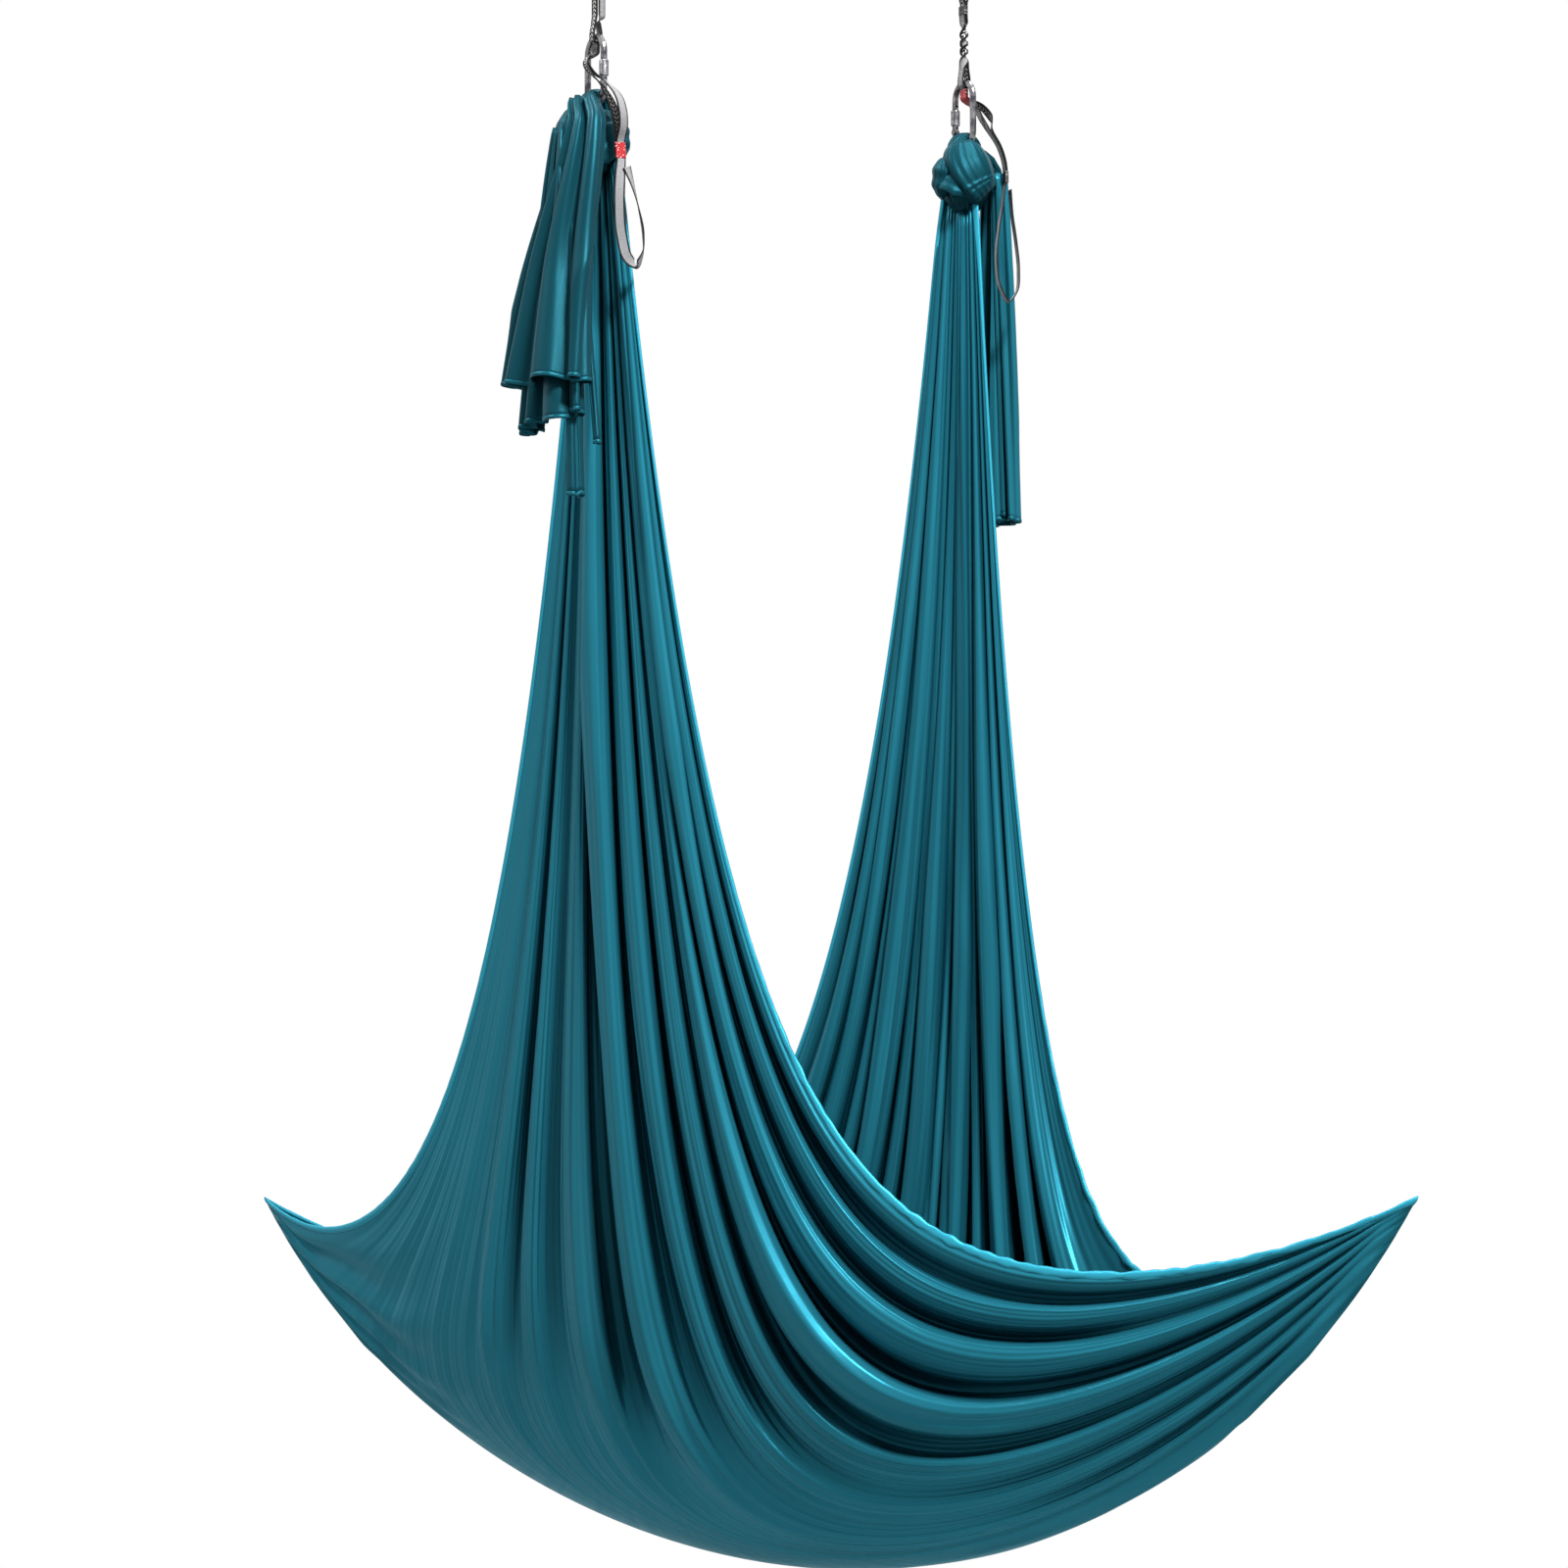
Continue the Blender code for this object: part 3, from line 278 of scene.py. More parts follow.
MOST_SWING = 2.02
SWING_STEPS = 60
FOLD_STEPS = 240


def ease(share):
    """Goes from 0 to 1 with level ends."""
    share = np.clip(share, 0, 1)
    return share * share * (3 - 2 * share)


def between(first, last, share):
    return first + (last - first) * share


def unit(rows):
    return rows / np.maximum(np.linalg.norm(rows, axis=-1, keepdims=True), 1e-12)


def hung_cloth(column, row, side):
    """The unfolded cloth of one leg: column runs from edge B to edge A, row from the knot to the keel."""
    along = 2 * column - 1
    to_far = ease(column) if side < 0 else 1 - ease(column)
    near_fall, far_fall, near_lift = LEG_FALLS[side]
    fall = between(near_fall, far_fall, to_far)
    lift = between(near_lift, FAR_LIFT, to_far) * along ** 2
    rise = (1 - np.sqrt(1 - TIP_SHARPNESS * along ** 2)) / (1 - math.sqrt(1 - TIP_SHARPNESS))
    keel = KEEL_Z + TIP_RISE * rise + KEEL_LEAN * along - KEEL_SWAY * along * (1 - along ** 2)
    across = between(NECK_WIDTH / (2 * math.hypot(TIP_OUT_X, TIP_OUT_Y)), 1, row)
    east = side * HALF_SPAN * (1 - across) + TIP_OUT_X * along * across
    depth = (NECK_Z - keel + lift) / (1 - np.exp(-1 / fall))
    height = NECK_Z - depth * (1 - np.exp(-row / fall)) + lift * row ** LIFT_POWER
    return np.stack([east, -TIP_OUT_Y * along * across, height], axis=-1)


def even_rows(side, count):
    """Rows from knot to keel along the cloth's middle, closest together at the keel."""
    fine = np.linspace(0, 1, 4000) ** 2
    places = hung_cloth(np.full_like(fine, 0.5), fine, side)
    run = np.concatenate([[0], np.cumsum(np.linalg.norm(np.diff(places, axis=0), axis=1))])
    even = np.linspace(0, 1, count)
    return np.interp(run[-1] * ((1 + ROW_CROWDING) * even - ROW_CROWDING * even ** 2), run, fine)


def fan_columns(even, to_knot):
    """Columns of one row: some spaced evenly, and some fanned out from the two drawn-out points."""
    fine = 0.5 - 0.5 * np.cos(np.linspace(0, np.pi, 6001))
    toward_a = to_knot * fine / (to_knot * fine + 1 - fine)
    toward_b = 1 - to_knot * (1 - fine) / (to_knot * (1 - fine) + fine)
    evenly, to_a, to_b = FAN_SHARES
    return np.interp(even, evenly * fine + to_a * toward_a + to_b * toward_b, fine)


def fold_tables(crest):
    """Shapes of one cloth fold, from a slack wave to a loop that hangs over its neighbours."""
    swings = np.linspace(0, MOST_SWING, SWING_STEPS)
    phase = np.linspace(0, 1, FOLD_STEPS + 1)
    angle = swings[:, None] * np.sin(2 * np.pi * phase) * (1 + crest * np.cos(2 * np.pi * phase))
    sums = [np.cumsum((part[:, 1:] + part[:, :-1]) / 2, 1) for part in (np.cos(angle), np.sin(angle))]
    aside, stand = (np.pad(part, ((0, 0), (1, 0))) * phase[1] for part in sums)
    length = aside[:, -1:]
    aside = aside / length - phase
    stand = stand / length
    depth = stand.max(1)
    return swings, 1 / length[:, 0], aside, stand - depth[:, None] * 0.5, depth


def look_up(table, first, second, eased=False):
    """Values between the rows and columns of a table."""
    low = np.minimum(first.astype(int), table.shape[0] - 2)
    left = np.minimum(second.astype(int), table.shape[1] - 2)
    down, over = first - low, second - left
    if eased:
        down, over = ease(down), ease(over)
    near = table[low, left] * (1 - over) + table[low, left + 1] * over
    far = table[low + 1, left] * (1 - over) + table[low + 1, left + 1] * over
    return near * (1 - down) + far * down


def fold_shape(tables, swing, phase):
    """Sideways and outward parts of a fold at a swing and a phase, both in fold widths."""
    level = np.clip(swing / MOST_SWING, 0, 1) * (SWING_STEPS - 1)
    return [look_up(table, level, (phase % 1) * FOLD_STEPS) for table in tables[2:4]]


def surface_frame(places):
    """Steps along and across a net of points, and its normal."""
    down = np.gradient(places, axis=0)
    over = np.gradient(places, axis=1)
    return down, over, unit(np.cross(over, down))


def slope_of(field, down, over):
    """The steepest way up a field on a net of points, and the distance in which it rises by one."""
    rise_down = np.gradient(field, axis=0)
    rise_over = np.gradient(field, axis=1)
    e = (down * down).sum(2)
    f = (down * over).sum(2)
    g = (over * over).sum(2)
    det = np.maximum(e * g - f * f, 1e-14)
    way = ((g * rise_down - f * rise_over) / det)[..., None] * down
    way = way + ((e * rise_over - f * rise_down) / det)[..., None] * over
    steep = np.maximum(np.linalg.norm(way, axis=2), 1e-6)
    return way / steep[..., None], 1 / steep


def soft_waves(seed, first, second, count=5):
    """Smooth uneven waves over two coordinates, from -1 to 1."""
    dice = np.random.default_rng(seed)
    total = np.zeros(np.broadcast(first, second).shape)
    for _ in range(count):
        one, two, start = dice.uniform(0.5, 1.5), dice.uniform(-1.0, 1.0), dice.uniform(0, 2 * np.pi)
        total = total + np.sin(first * one * 2 * np.pi + second * two * 2 * np.pi + start)
    return total / count * 1.4


def crease_count(fold, half):
    """The folds counted from a leg's near border, with rounded creases, and how deep they are."""
    fine = np.linspace(-0.02, 1.02, CREASE_STEPS)
    bell = np.exp(-np.linspace(-2, 2, CREASE_ROUNDING) ** 2)
    phase, weight = np.zeros_like(fold), np.zeros_like(fold)
    for side, creases, weights in ((-1, LEFT_CREASES, LEFT_CREASE_WEIGHTS),
                                   (1, RIGHT_CREASES, RIGHT_CREASE_WEIGHTS)):
        spots = creases + (1.03,)
        counts = np.interp(fine, spots, np.arange(len(spots)))
        counts = np.pad(counts, CREASE_ROUNDING // 2, mode="edge")
        counts = np.convolve(counts, bell / bell.sum(), mode="valid")
        mine = half == side
        phase[mine] = np.interp(fold[mine], fine, counts)
        weight[mine] = np.interp(fold[mine], spots, weights + (0.8,))
    return phase, weight


def uneven_folds(phase, row, half):
    """How much stronger or weaker each fold is than its neighbours, as it runs from knot to keel."""
    dice = np.random.default_rng(17)
    spread = np.interp(DIFFERENCE_ROWS, *DIFFERENCES)
    level = np.interp(row, DIFFERENCE_ROWS, np.arange(len(DIFFERENCE_ROWS)))
    total = np.ones_like(phase)
    for side in (-1, 1):
        table = 1 + spread * dice.uniform(-1, 0.75, (MOST_FOLDS, len(DIFFERENCE_ROWS)))
        strength = look_up(table, np.clip(phase, 0, MOST_FOLDS - 2), level, eased=True)
        total = np.where(half == side, strength, total)
    return total


def fold_strength(row, toward, fold, run, phase, weight, half, belly, room):
    """How strong the folds are: weak in the belly, at both borders, near the keel and where they crowd."""
    calm = np.maximum(weight, 0.92 * ease((toward - 0.50) / 0.35))
    calm = calm * (1 - ease((row - 0.955) / 0.045))
    calm = calm * (1 + 0.25 * soft_waves(11, fold * 3.1, run * 0.7))
    calm = calm * uneven_folds(phase, row, half)
    calm = calm * (1 - 0.78 * ease((row - 0.42) / 0.22) * (1 - ease((toward - 0.46) / 0.26)))
    calm = calm * (1 - 0.58 * belly * ease((toward - 0.20) / 0.2)) * ease((room - 2.0) / 2.6)
    return calm * (0.15 + 0.85 * ease(fold / 0.05)) * (0.15 + 0.85 * ease((1 - fold) / 0.025))


def point_folds(base, row, toward, half):
    """How far the short folds that run from the near drawn-out point stand out."""
    lead = (1 - row) * (1 - toward)
    fold = lead / np.maximum(lead + toward, 1e-9)
    away = np.hypot(base[..., 0] - half * TIP_OUT_X, base[..., 1] + half * TIP_OUT_Y)
    short = ease((away - 0.01) / 0.10) * (1 - ease((away - 0.22) / 0.30)) * ease((1 - row) / 0.04)
    short = short * ease(fold / 0.2) * ease((1 - fold) / 0.1)
    wave = np.sin(2 * np.pi * (fold * 5.5 + 0.3 * soft_waves(61, away * 3, fold)))
    return POINT_FOLD_HEIGHT * short * wave


def ridden_pleats(row, fold, run, phase, half, width, room):
    """How far the finer pleats that ride on the folds stand out."""
    turn = 2 * np.pi * (phase * PLEATS_PER_FOLD + 0.35 * soft_waves(21, fold * 6, run * 1.1))
    pleat = np.sin(turn) * 0.5 + 0.5 * np.sin(turn * 0.61 + 1.3)
    fade = np.interp(row, *FINE_PLEATS) * np.where(half < 0, 0.45 + 0.55 * ease((row - 0.30) / 0.3), 1)
    size = np.minimum(width * 0.15, PLEAT_HEIGHT) * fade * (1 + 0.6 * soft_waves(5, fold * 4, run * 1.4))
    size = size * ease(fold / 0.09) * ease((1 - fold) / 0.05)
    return pleat * size * ease((room / PLEATS_PER_FOLD - 2.0) / 2.5)


def sling_net():
    """The folded cloth as a net of points, with its rows, columns, legs, folds, painted fold shade and
    finish masks.
    """
    even = np.linspace(0, 1, SLING_COLUMNS + 1)
    legs = []
    for side in (-1, 1):
        levels = even_rows(side, SLING_ROWS)
        row = np.repeat(levels[:, None], SLING_COLUMNS + 1, axis=1)
        column = np.stack([fan_columns(even, max(1 - level, LEAST_FAN)) for level in levels])
        legs.append((row, column, hung_cloth(column, row, side), np.full_like(column, side)))
    row, column, base, half = (np.concatenate([left, right[-2::-1]]) for left, right in zip(*legs))
    down, over, facing = surface_frame(base)
    level = np.array((TIP_OUT_Y, TIP_OUT_X, 0)) / math.hypot(TIP_OUT_X, TIP_OUT_Y)
    near_neck = np.exp(-row / 0.006)[..., None]
    front = unit(facing * (1 - near_neck) - half[..., None] * level * near_neck) * half[..., None]

    # Folds that fan out of the far drawn-out point
    toward = np.where(half < 0, column, 1 - column)
    lead = (1 - row) * toward
    fold = lead / np.maximum(lead + 1 - toward, 1e-9)
    run = np.cumsum(np.linalg.norm(np.gradient(base, axis=0), axis=2), axis=0)
    wander = 0.016 * soft_waves(3, fold * 2.2, run * 0.6) * ease(row / 0.02) * ease(fold * 5)
    fold = np.clip(fold + wander * ease((1 - fold) * 6), 0, 1)
    phase, weight = crease_count(fold, half)
    way, width = slope_of(phase, down, over)
    room = np.maximum(np.abs(np.gradient(phase, axis=1)), np.abs(np.gradient(phase, axis=0)))
    room = 1 / np.maximum(room, 1e-6)

    # How far each fold swings, and its shape
    tables = fold_tables(0.50)
    swings, gathers, _, _, depths = tables
    drawn = ease((toward - 0.62) / 0.25) * ease((row - 0.35) / 0.25)
    swing = np.interp(np.interp(row, *GATHERS) + 0.55 * drawn, gathers, swings)
    swing = np.minimum(swing, np.interp((np.interp(row, *DEPTHS) + 0.02 * drawn) / width, depths, swings))
    belly = ease((row - 0.30) / 0.28) * (1 - ease((toward - 0.72) / 0.2))
    swing = swing * fold_strength(row, toward, fold, run, phase, weight, half, belly, room)
    swing = np.clip(swing, 0, MOST_SWING)
    aside, stand = fold_shape(tables, swing, phase)
    lean = np.where(half < 0, 0.50, -0.35) * ease(row / 0.02) * (1 - 0.5 * ease((row - 0.35) / 0.3))
    aside = aside + lean * np.minimum(swing / 1.2, 1) * stand
    net = base + way * (aside * width)[..., None] + front * (stand * width)[..., None]
    net = net + front * point_folds(base, row, toward, half)[..., None]
    skin = surface_frame(net)[2] * half[..., None]
    pleat_width = width * np.interp(swing, swings, gathers) / PLEATS_PER_FOLD
    net = net + skin * ridden_pleats(row, fold, run, phase, half, pleat_width, room)[..., None]

    # The top is drawn up and together under its knot
    drop = np.maximum(NECK_Z - net[..., 2], 0)
    pinch = 1 - NECK_PINCH * np.exp(-drop / NECK_PINCH_REACH)
    net[..., 2] += NECK_LIFT * np.exp(-drop / NECK_LIFT_REACH)
    net[..., 0] = half * HALF_SPAN + (net[..., 0] - half * HALF_SPAN) * pinch
    net[..., 1] = net[..., 1] * pinch

    # Painted shade: how far each point lies toward its fold's valley, weaker in the belly; it darkens the
    # cloth's colour there
    deep = np.clip(0.5 - stand / np.maximum(np.interp(swing, swings, depths), 1e-6), 0, 1)
    deep = deep * ease(swing / 1.2) * (1 - 0.30 * belly)
    creased = np.minimum(width * 0.048, CREASE_HEIGHT) * (0.35 + 0.65 * ease(swing / 0.6))
    creased = creased * ease((1 - row) / 0.03)
    return net, row, column, half, fold, run, deep, phase, creased * ease((room - 2.0) / 3.0)


def cloth_piece(name, net, faces, across, along, finish):
    """A smooth piece over a net of points, with its map in metres."""
    mesh = bpy.data.meshes.new(name)
    mesh.from_pydata(net.reshape(-1, 3).tolist(), [], faces)
    corner = np.zeros(len(mesh.loops), dtype=np.int32)
    mesh.loops.foreach_get("vertex_index", corner)
    spots = [np.broadcast_to(part, net.shape[:2]).reshape(-1)[corner] for part in (across, along)]
    layer = mesh.uv_layers.new(name="cloth_metres")
    layer.data.foreach_set("uv", np.stack(spots, 1).astype(np.float32).reshape(-1))
    mesh.materials.append(finish)
    mesh.shade_smooth()
    piece = bpy.data.objects.new(name, mesh)
    bpy.context.scene.collection.objects.link(piece)
    return piece


def net_mesh(name, net, across, along, finish, masks=()):
    """An open cloth mesh over a net of points, with its finish masks."""
    index = np.arange(net.shape[0] * net.shape[1]).reshape(net.shape[:2])
    faces = np.stack([index[:-1, :-1], index[1:, :-1], index[1:, 1:], index[:-1, 1:]], axis=-1)
    piece = cloth_piece(name, net, faces.reshape(-1, 4).tolist(), across, along, finish)
    for label, values in masks:
        attribute = piece.data.attributes.new(label, "FLOAT", "POINT")
        attribute.data.foreach_set("value", values.astype(np.float32).reshape(-1))
    return piece


def thicken(piece, thickness):
    """Gives an open cloth its thickness, half on each side."""
    wall = piece.modifiers.new("thickness", "SOLIDIFY")
    wall.thickness = thickness
    wall.offset = 0
    bpy.ops.object.select_all(action="DESELECT")
    bpy.context.view_layer.objects.active = piece
    piece.select_set(True)
    bpy.ops.object.modifier_apply(modifier=wall.name)
    piece.select_set(False)


net, row, column, half, fold, run, deep, fold_count, pleat_size = sling_net()
thin = np.exp(-((fold - 0.235) / 0.045) ** 2) * ease(row / 0.03) * (1 - ease((row - 0.30) / 0.25))
thin = thin + (0.7 * np.exp(-((fold - 0.66) / 0.03) ** 2) * ease((row - 0.05) / 0.1)
               * (1 - ease((row - 0.4) / 0.3)))
thin = thin * (half < 0) * (0.75 + 0.25 * soft_waves(31, fold * 12, run))
# Painted shade in the cloth's colour: the fold valleys, darker on the right leg, and the legs just below
# their knots
shaded = deep ** np.where(half > 0, 0.52, 0.75) * np.where(half > 0, 0.97, 0.92)
close = np.where(half > 0, 0.42, 0.20) * np.exp(-row / 0.16)
close = close * (1 + 0.5 * soft_waves(71, fold * 9, run * 0.5))
sling = net_mesh("sling_tricot_cloth", net, column * CLOTH_WIDTH, run * RUN_TO_CLOTH,
                 tricot_finish("sling_tricot", bump=0.05),
                 (("painted_crease_shade", np.clip(shaded + close * (1 - shaded), 0, 0.96)),
                  ("stretched_thin", np.clip(thin, 0, 1) * 0.6), ("fold_count", fold_count),
                  ("pleat_size", pleat_size)))
thicken(sling, CLOTH_THICKNESS)
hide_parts("sling_cloth")
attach(sling, "sling")

# ------------------------------------------------------------------ Hems of the sling
# Each long edge is turned in twice and sewn as a narrow hem. The stretch of the cloth puckers it,
# most where it crosses the open front of the cradle.
HEM_WIDTH = 0.0115
HEM_THICKNESS = 0.0046
HEM_SIDES = 10
HEM_ROWS = 900
HEM_INSET = 0.30


def turn_angles(count):
    return np.linspace(0, 2 * np.pi, count, endpoint=False)


def closed_net(name, net, across, along, finish, wrap_rows=False):
    """A closed mesh over a net whose columns run round, with its two ends shut or joined."""
    index = np.arange(net.shape[0] * net.shape[1]).reshape(net.shape[:2])
    turned = np.pad(index, ((0, int(wrap_rows)), (0, 1)), mode="wrap")
    faces = np.stack([turned[:-1, :-1], turned[:-1, 1:], turned[1:, 1:], turned[1:, :-1]], axis=-1)
    faces = faces.reshape(-1, 4).tolist()
    if not wrap_rows:
        faces += [index[0, ::-1].tolist(), index[-1].tolist()]
    piece = cloth_piece(name, net, faces, across, along, finish)
    shape = bmesh.new()
    shape.from_mesh(piece.data)
    bmesh.ops.recalc_face_normals(shape, faces=shape.faces)
    shape.to_mesh(piece.data)
    shape.free()
    return piece


def resample(rows, count):
    """Evenly spaced rows along the path that the first three values of each row follow."""
    run = np.concatenate([[0], np.cumsum(np.linalg.norm(np.diff(rows[:, :3], axis=0), axis=1))])
    spots = np.linspace(0, run[-1], count)
    return spots, np.stack([np.interp(spots, run, part) for part in rows.T], axis=1)


def edge_rows(edge, inner, count):
    """Evenly spaced places along a cloth's edge, and at each the ways inward and off the cloth."""
    inward = unit(inner - edge)
    skin = unit(np.cross(inward, np.gradient(edge, axis=0)))
    run, rows = resample(np.concatenate([edge, inward, skin], axis=1), count)
    return run, rows[:, :3], unit(rows[:, 3:6]), unit(rows[:, 6:9])


def edge_hem(name, edge_column, inner_column):
    """A puckered hem along one edge of the sling."""
    run, middle, inward, skin = edge_rows(net[:, edge_column], net[:, inner_column], HEM_ROWS)
    pucker = soft_waves(51 + edge_column, run * 26, run * 3.1, 7)
    roll = soft_waves(77 + edge_column, run * 9, run * 1.3, 5)
    open_front = ease((run - 0.9) / 0.4) * ease((run[-1] - run - 1.0) / 0.5)
    open_front = open_front * (1.0 if edge_column else 0.15)
    width = HEM_WIDTH / 2 * (1 + 0.30 * open_front * pucker)
    thick = HEM_THICKNESS / 2 * (1 + 0.35 * open_front * roll)
    middle = middle + inward * HEM_WIDTH * HEM_INSET
    middle = middle + skin * (0.0016 * open_front * soft_waves(91, run * 17, run * 2.2, 6))[:, None]
    angle = turn_angles(HEM_SIDES)
    ring = middle[:, None] + inward[:, None] * (width[:, None] * np.cos(angle))[..., None]
    ring = ring + skin[:, None] * (thick[:, None] * np.sin(angle))[..., None]
    piece = closed_net(name, ring, angle[None] * 0.002, run[:, None], hem_finish)
    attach(piece, "sling")
    return piece


# Painted light: the sling's hems are its tricot at 1.7 times its brightness
hem_finish = tricot_finish("hem_tricot", painted_shade_and_creases=False, bump=0.25, lift=1.7)
sling_hems = [edge_hem("sling_hem_a", -1, -3), edge_hem("sling_hem_b", 0, 2)]

# ------------------------------------------------------------------ Knots
# The cloth goes over the carabiner's lower bar in tight pleats and is tied below it: its own end is
# wound round the bundle as a broad smooth wrap, with a slack lobe left on one side.
BAR_Z = -0.2595
KNOT_FOOT_Z = -0.352
WRAP_RADIUS = 0.0300
WRAP_HEIGHT = 0.060
WRAP_THICKNESS = 0.0105
WRAP_TILT = math.radians(22)
WRAP_TURN = math.radians(-14)
WRAP_Z = -0.3045
VIEW_TURNS = {-1: math.radians(60.6), 1: math.radians(-119.4)}
SADDLE_RADIUS = 0.0148
TAIL_TOP_X = 0.0481
TAIL_TOP_Z = -0.3003
BUNDLE_ROWS = 46
BUNDLE_SIDES = 132
WRAP_STEPS = 160
WRAP_SIDES = 64
LIP_DROP = 0.0075
LOBE_AT = (-0.034, 0.004, WRAP_Z + 0.002)
LOBE_HALF = (0.0128, 0.0185, 0.0285)
BAND_STEPS = 60
BAND_COLUMNS = 40
BAND_THICKNESS = 0.0016
BAND_DEPTH = 0.0425
BAND_OVAL = (0.048, 0.064)
BAND_MIDDLE_Z = -0.300
SIDE_TUCK = 0.0140
TOP_TUCK = 0.0130
FOOT_TUCK = 0.004
# Edges of the right knot's band as the photograph sees them, across and up from its carabiner
BAND_LEFT = ((-0.016, -0.250), (-0.028, -0.266), (-0.029, -0.287), (-0.014, -0.318), (0.0155, -0.3465))
BAND_RIGHT = ((0.008, -0.246), (0.023, -0.259), (0.035, -0.276), (0.0415, -0.294), (0.0445, -0.311))


def rig_place(side, places):
    """Places on one rig, from places on the right rig relative to its carabiner."""
    places = np.asarray(places, dtype=float)
    return np.stack([side * (HALF_SPAN + places[..., 0]), side * places[..., 1], places[..., 2]], axis=-1)


def pleated(angle, count):
    """How far rounded pleats stand out round a bundle, with tight creases between them."""
    wave = angle * count / (2 * np.pi) % 1
    return np.abs(np.sin(np.pi * (wave + 0.025 * np.sin(2 * np.pi * wave)))) ** 0.6 - 0.6


def bundle(name, side, middles, wides, deeps, wide_ways, deep_ways, pleats, depths, twist, seed):
    """A bundle of pleated cloth along a route, oval across, as one closed piece."""
    table = np.concatenate([middles, wide_ways, deep_ways, np.array([wides, deeps, depths]).T], axis=1)
    run, rows = resample(table, BUNDLE_ROWS)
    angle = turn_angles(BUNDLE_SIDES)[None]
    share = np.linspace(0, 1, len(rows))[:, None]
    uneven = 0.35 * soft_waves(seed, angle / (2 * np.pi) * 2, share * 1.2)
    turned = angle + twist * share + uneven
    fold = (pleated(turned, pleats) + 0.2 * pleated(turned + uneven, pleats * 3)) * rows[:, 11:12]
    close = np.clip(np.minimum(share, 1 - share) * 18, 0.02, 1) ** 0.5
    ring = rows[:, None, :3]
    ring = ring + unit(rows[:, None, 3:6]) * ((rows[:, 9:10] * close + fold) * np.cos(angle))[..., None]
    ring = ring + unit(rows[:, None, 6:9]) * ((rows[:, 10:11] * close + fold) * np.sin(angle))[..., None]
    reach = float(np.mean(rows[:, 9] + rows[:, 10])) * np.pi
    return closed_net(name, rig_place(side, ring), angle / (2 * np.pi) * reach, run[:, None], knot_finish)


def flat_bundle(name, side, route, wides, deeps, depth, twist, seed):
    """A flattened bundle along a route in the carabiner's plane."""
    count = len(route)
    outward = np.cross(np.array((0, 1.0, 0)), unit(np.gradient(np.array(route), axis=0)))
    return bundle(name, side, route, wides, deeps, [(0, 1, 0)] * count, outward, 13, [depth] * count,
                  twist, seed)


def knot_wrap(label, side):
    """The tilted turn of cloth round a knot, which ends in a lip on the photograph's side."""
    angle = turn_angles(WRAP_STEPS)[:, None]
    around = turn_angles(WRAP_SIDES)[None]
    lap, rise = np.cos(around), np.sin(around)
    lean_x = math.sin(WRAP_TILT) * math.cos(WRAP_TURN)
    lean_y = math.sin(WRAP_TILT) * math.sin(WRAP_TURN)
    from_view = (angle - VIEW_TURNS[side] + np.pi) % (2 * np.pi) - np.pi
    lip = np.exp(-np.abs(from_view + 0.12 * side) / 0.42) * ease(-rise)
    ripple = 0.0011 * np.abs(np.sin(around * 4.5 + 0.6 * np.sin(angle) + 0.4)) ** 0.7
    ripple = ripple + 0.0005 * np.sin(around * 14 + angle * 2)
    radial = WRAP_RADIUS + (WRAP_THICKNESS / 2 + ripple * (lap > -0.2)) * lap
    radial = radial + 0.0022 * np.sin(angle * 2 + 0.8) * rise ** 2 + 0.0035 * (lip - rise ** 2 * (rise > 0))
    height = WRAP_HEIGHT / 2 * rise * (1 + 0.06 * np.sin(angle + 0.5)) - LIP_DROP * lip
    spread_x, spread_y = radial * np.cos(angle), radial * np.sin(angle)
    plane_z = -(lean_x * spread_x + lean_y * spread_y) / math.cos(WRAP_TILT)
    ring = np.stack([spread_x + lean_x * height, spread_y + lean_y * height,
                     WRAP_Z + plane_z + height * math.cos(WRAP_TILT)], axis=-1)
    return closed_net(f"{label}_knot_wrap", rig_place(side, ring), around * 0.018, angle * WRAP_RADIUS,
                      wrap_finish, wrap_rows=True)


def knot_lobe(label, side):
    """The slack lobe of cloth that is left beside a knot."""
    ball = np.linspace(0.04, math.pi - 0.04, 40)[:, None]
    spin = turn_angles(72)[None]
    wave = 1 + 0.085 * np.sin(ball * 7 + 1.2 * np.sin(spin)) * np.sin(ball)
    wave = wave + 0.03 * np.sin(spin * 9 + ball * 4)
    lobe = np.stack([LOBE_AT[0] + LOBE_HALF[0] * wave * np.sin(ball) * np.cos(spin),
                     LOBE_AT[1] + LOBE_HALF[1] * wave * np.sin(ball) * np.sin(spin),
                     LOBE_AT[2] + LOBE_HALF[2] * np.cos(ball) * (1 + 0.02 * np.sin(spin * 2))], axis=-1)
    return closed_net(f"{label}_knot_lobe", rig_place(side, lobe), spin * 0.015, ball * 0.03, knot_finish)


def smooth_line(points, count):
    """A smooth curve through points in a plane."""
    points = np.array(points)
    spots = np.linspace(0, len(points) - 1, count)
    low = np.minimum(spots.astype(int), len(points) - 2)
    t = (spots - low)[:, None]
    padded = np.concatenate([2 * points[:1] - points[1:2], points, 2 * points[-1:] - points[-2:-1]])
    a, b, c, d = (padded[low + step] for step in range(4))
    bends = (2 * a - 5 * b + 4 * c - d) * t ** 2 + (3 * b - a - 3 * c + d) * t ** 3
    return 0.5 * (2 * b + (c - a) * t + bends)


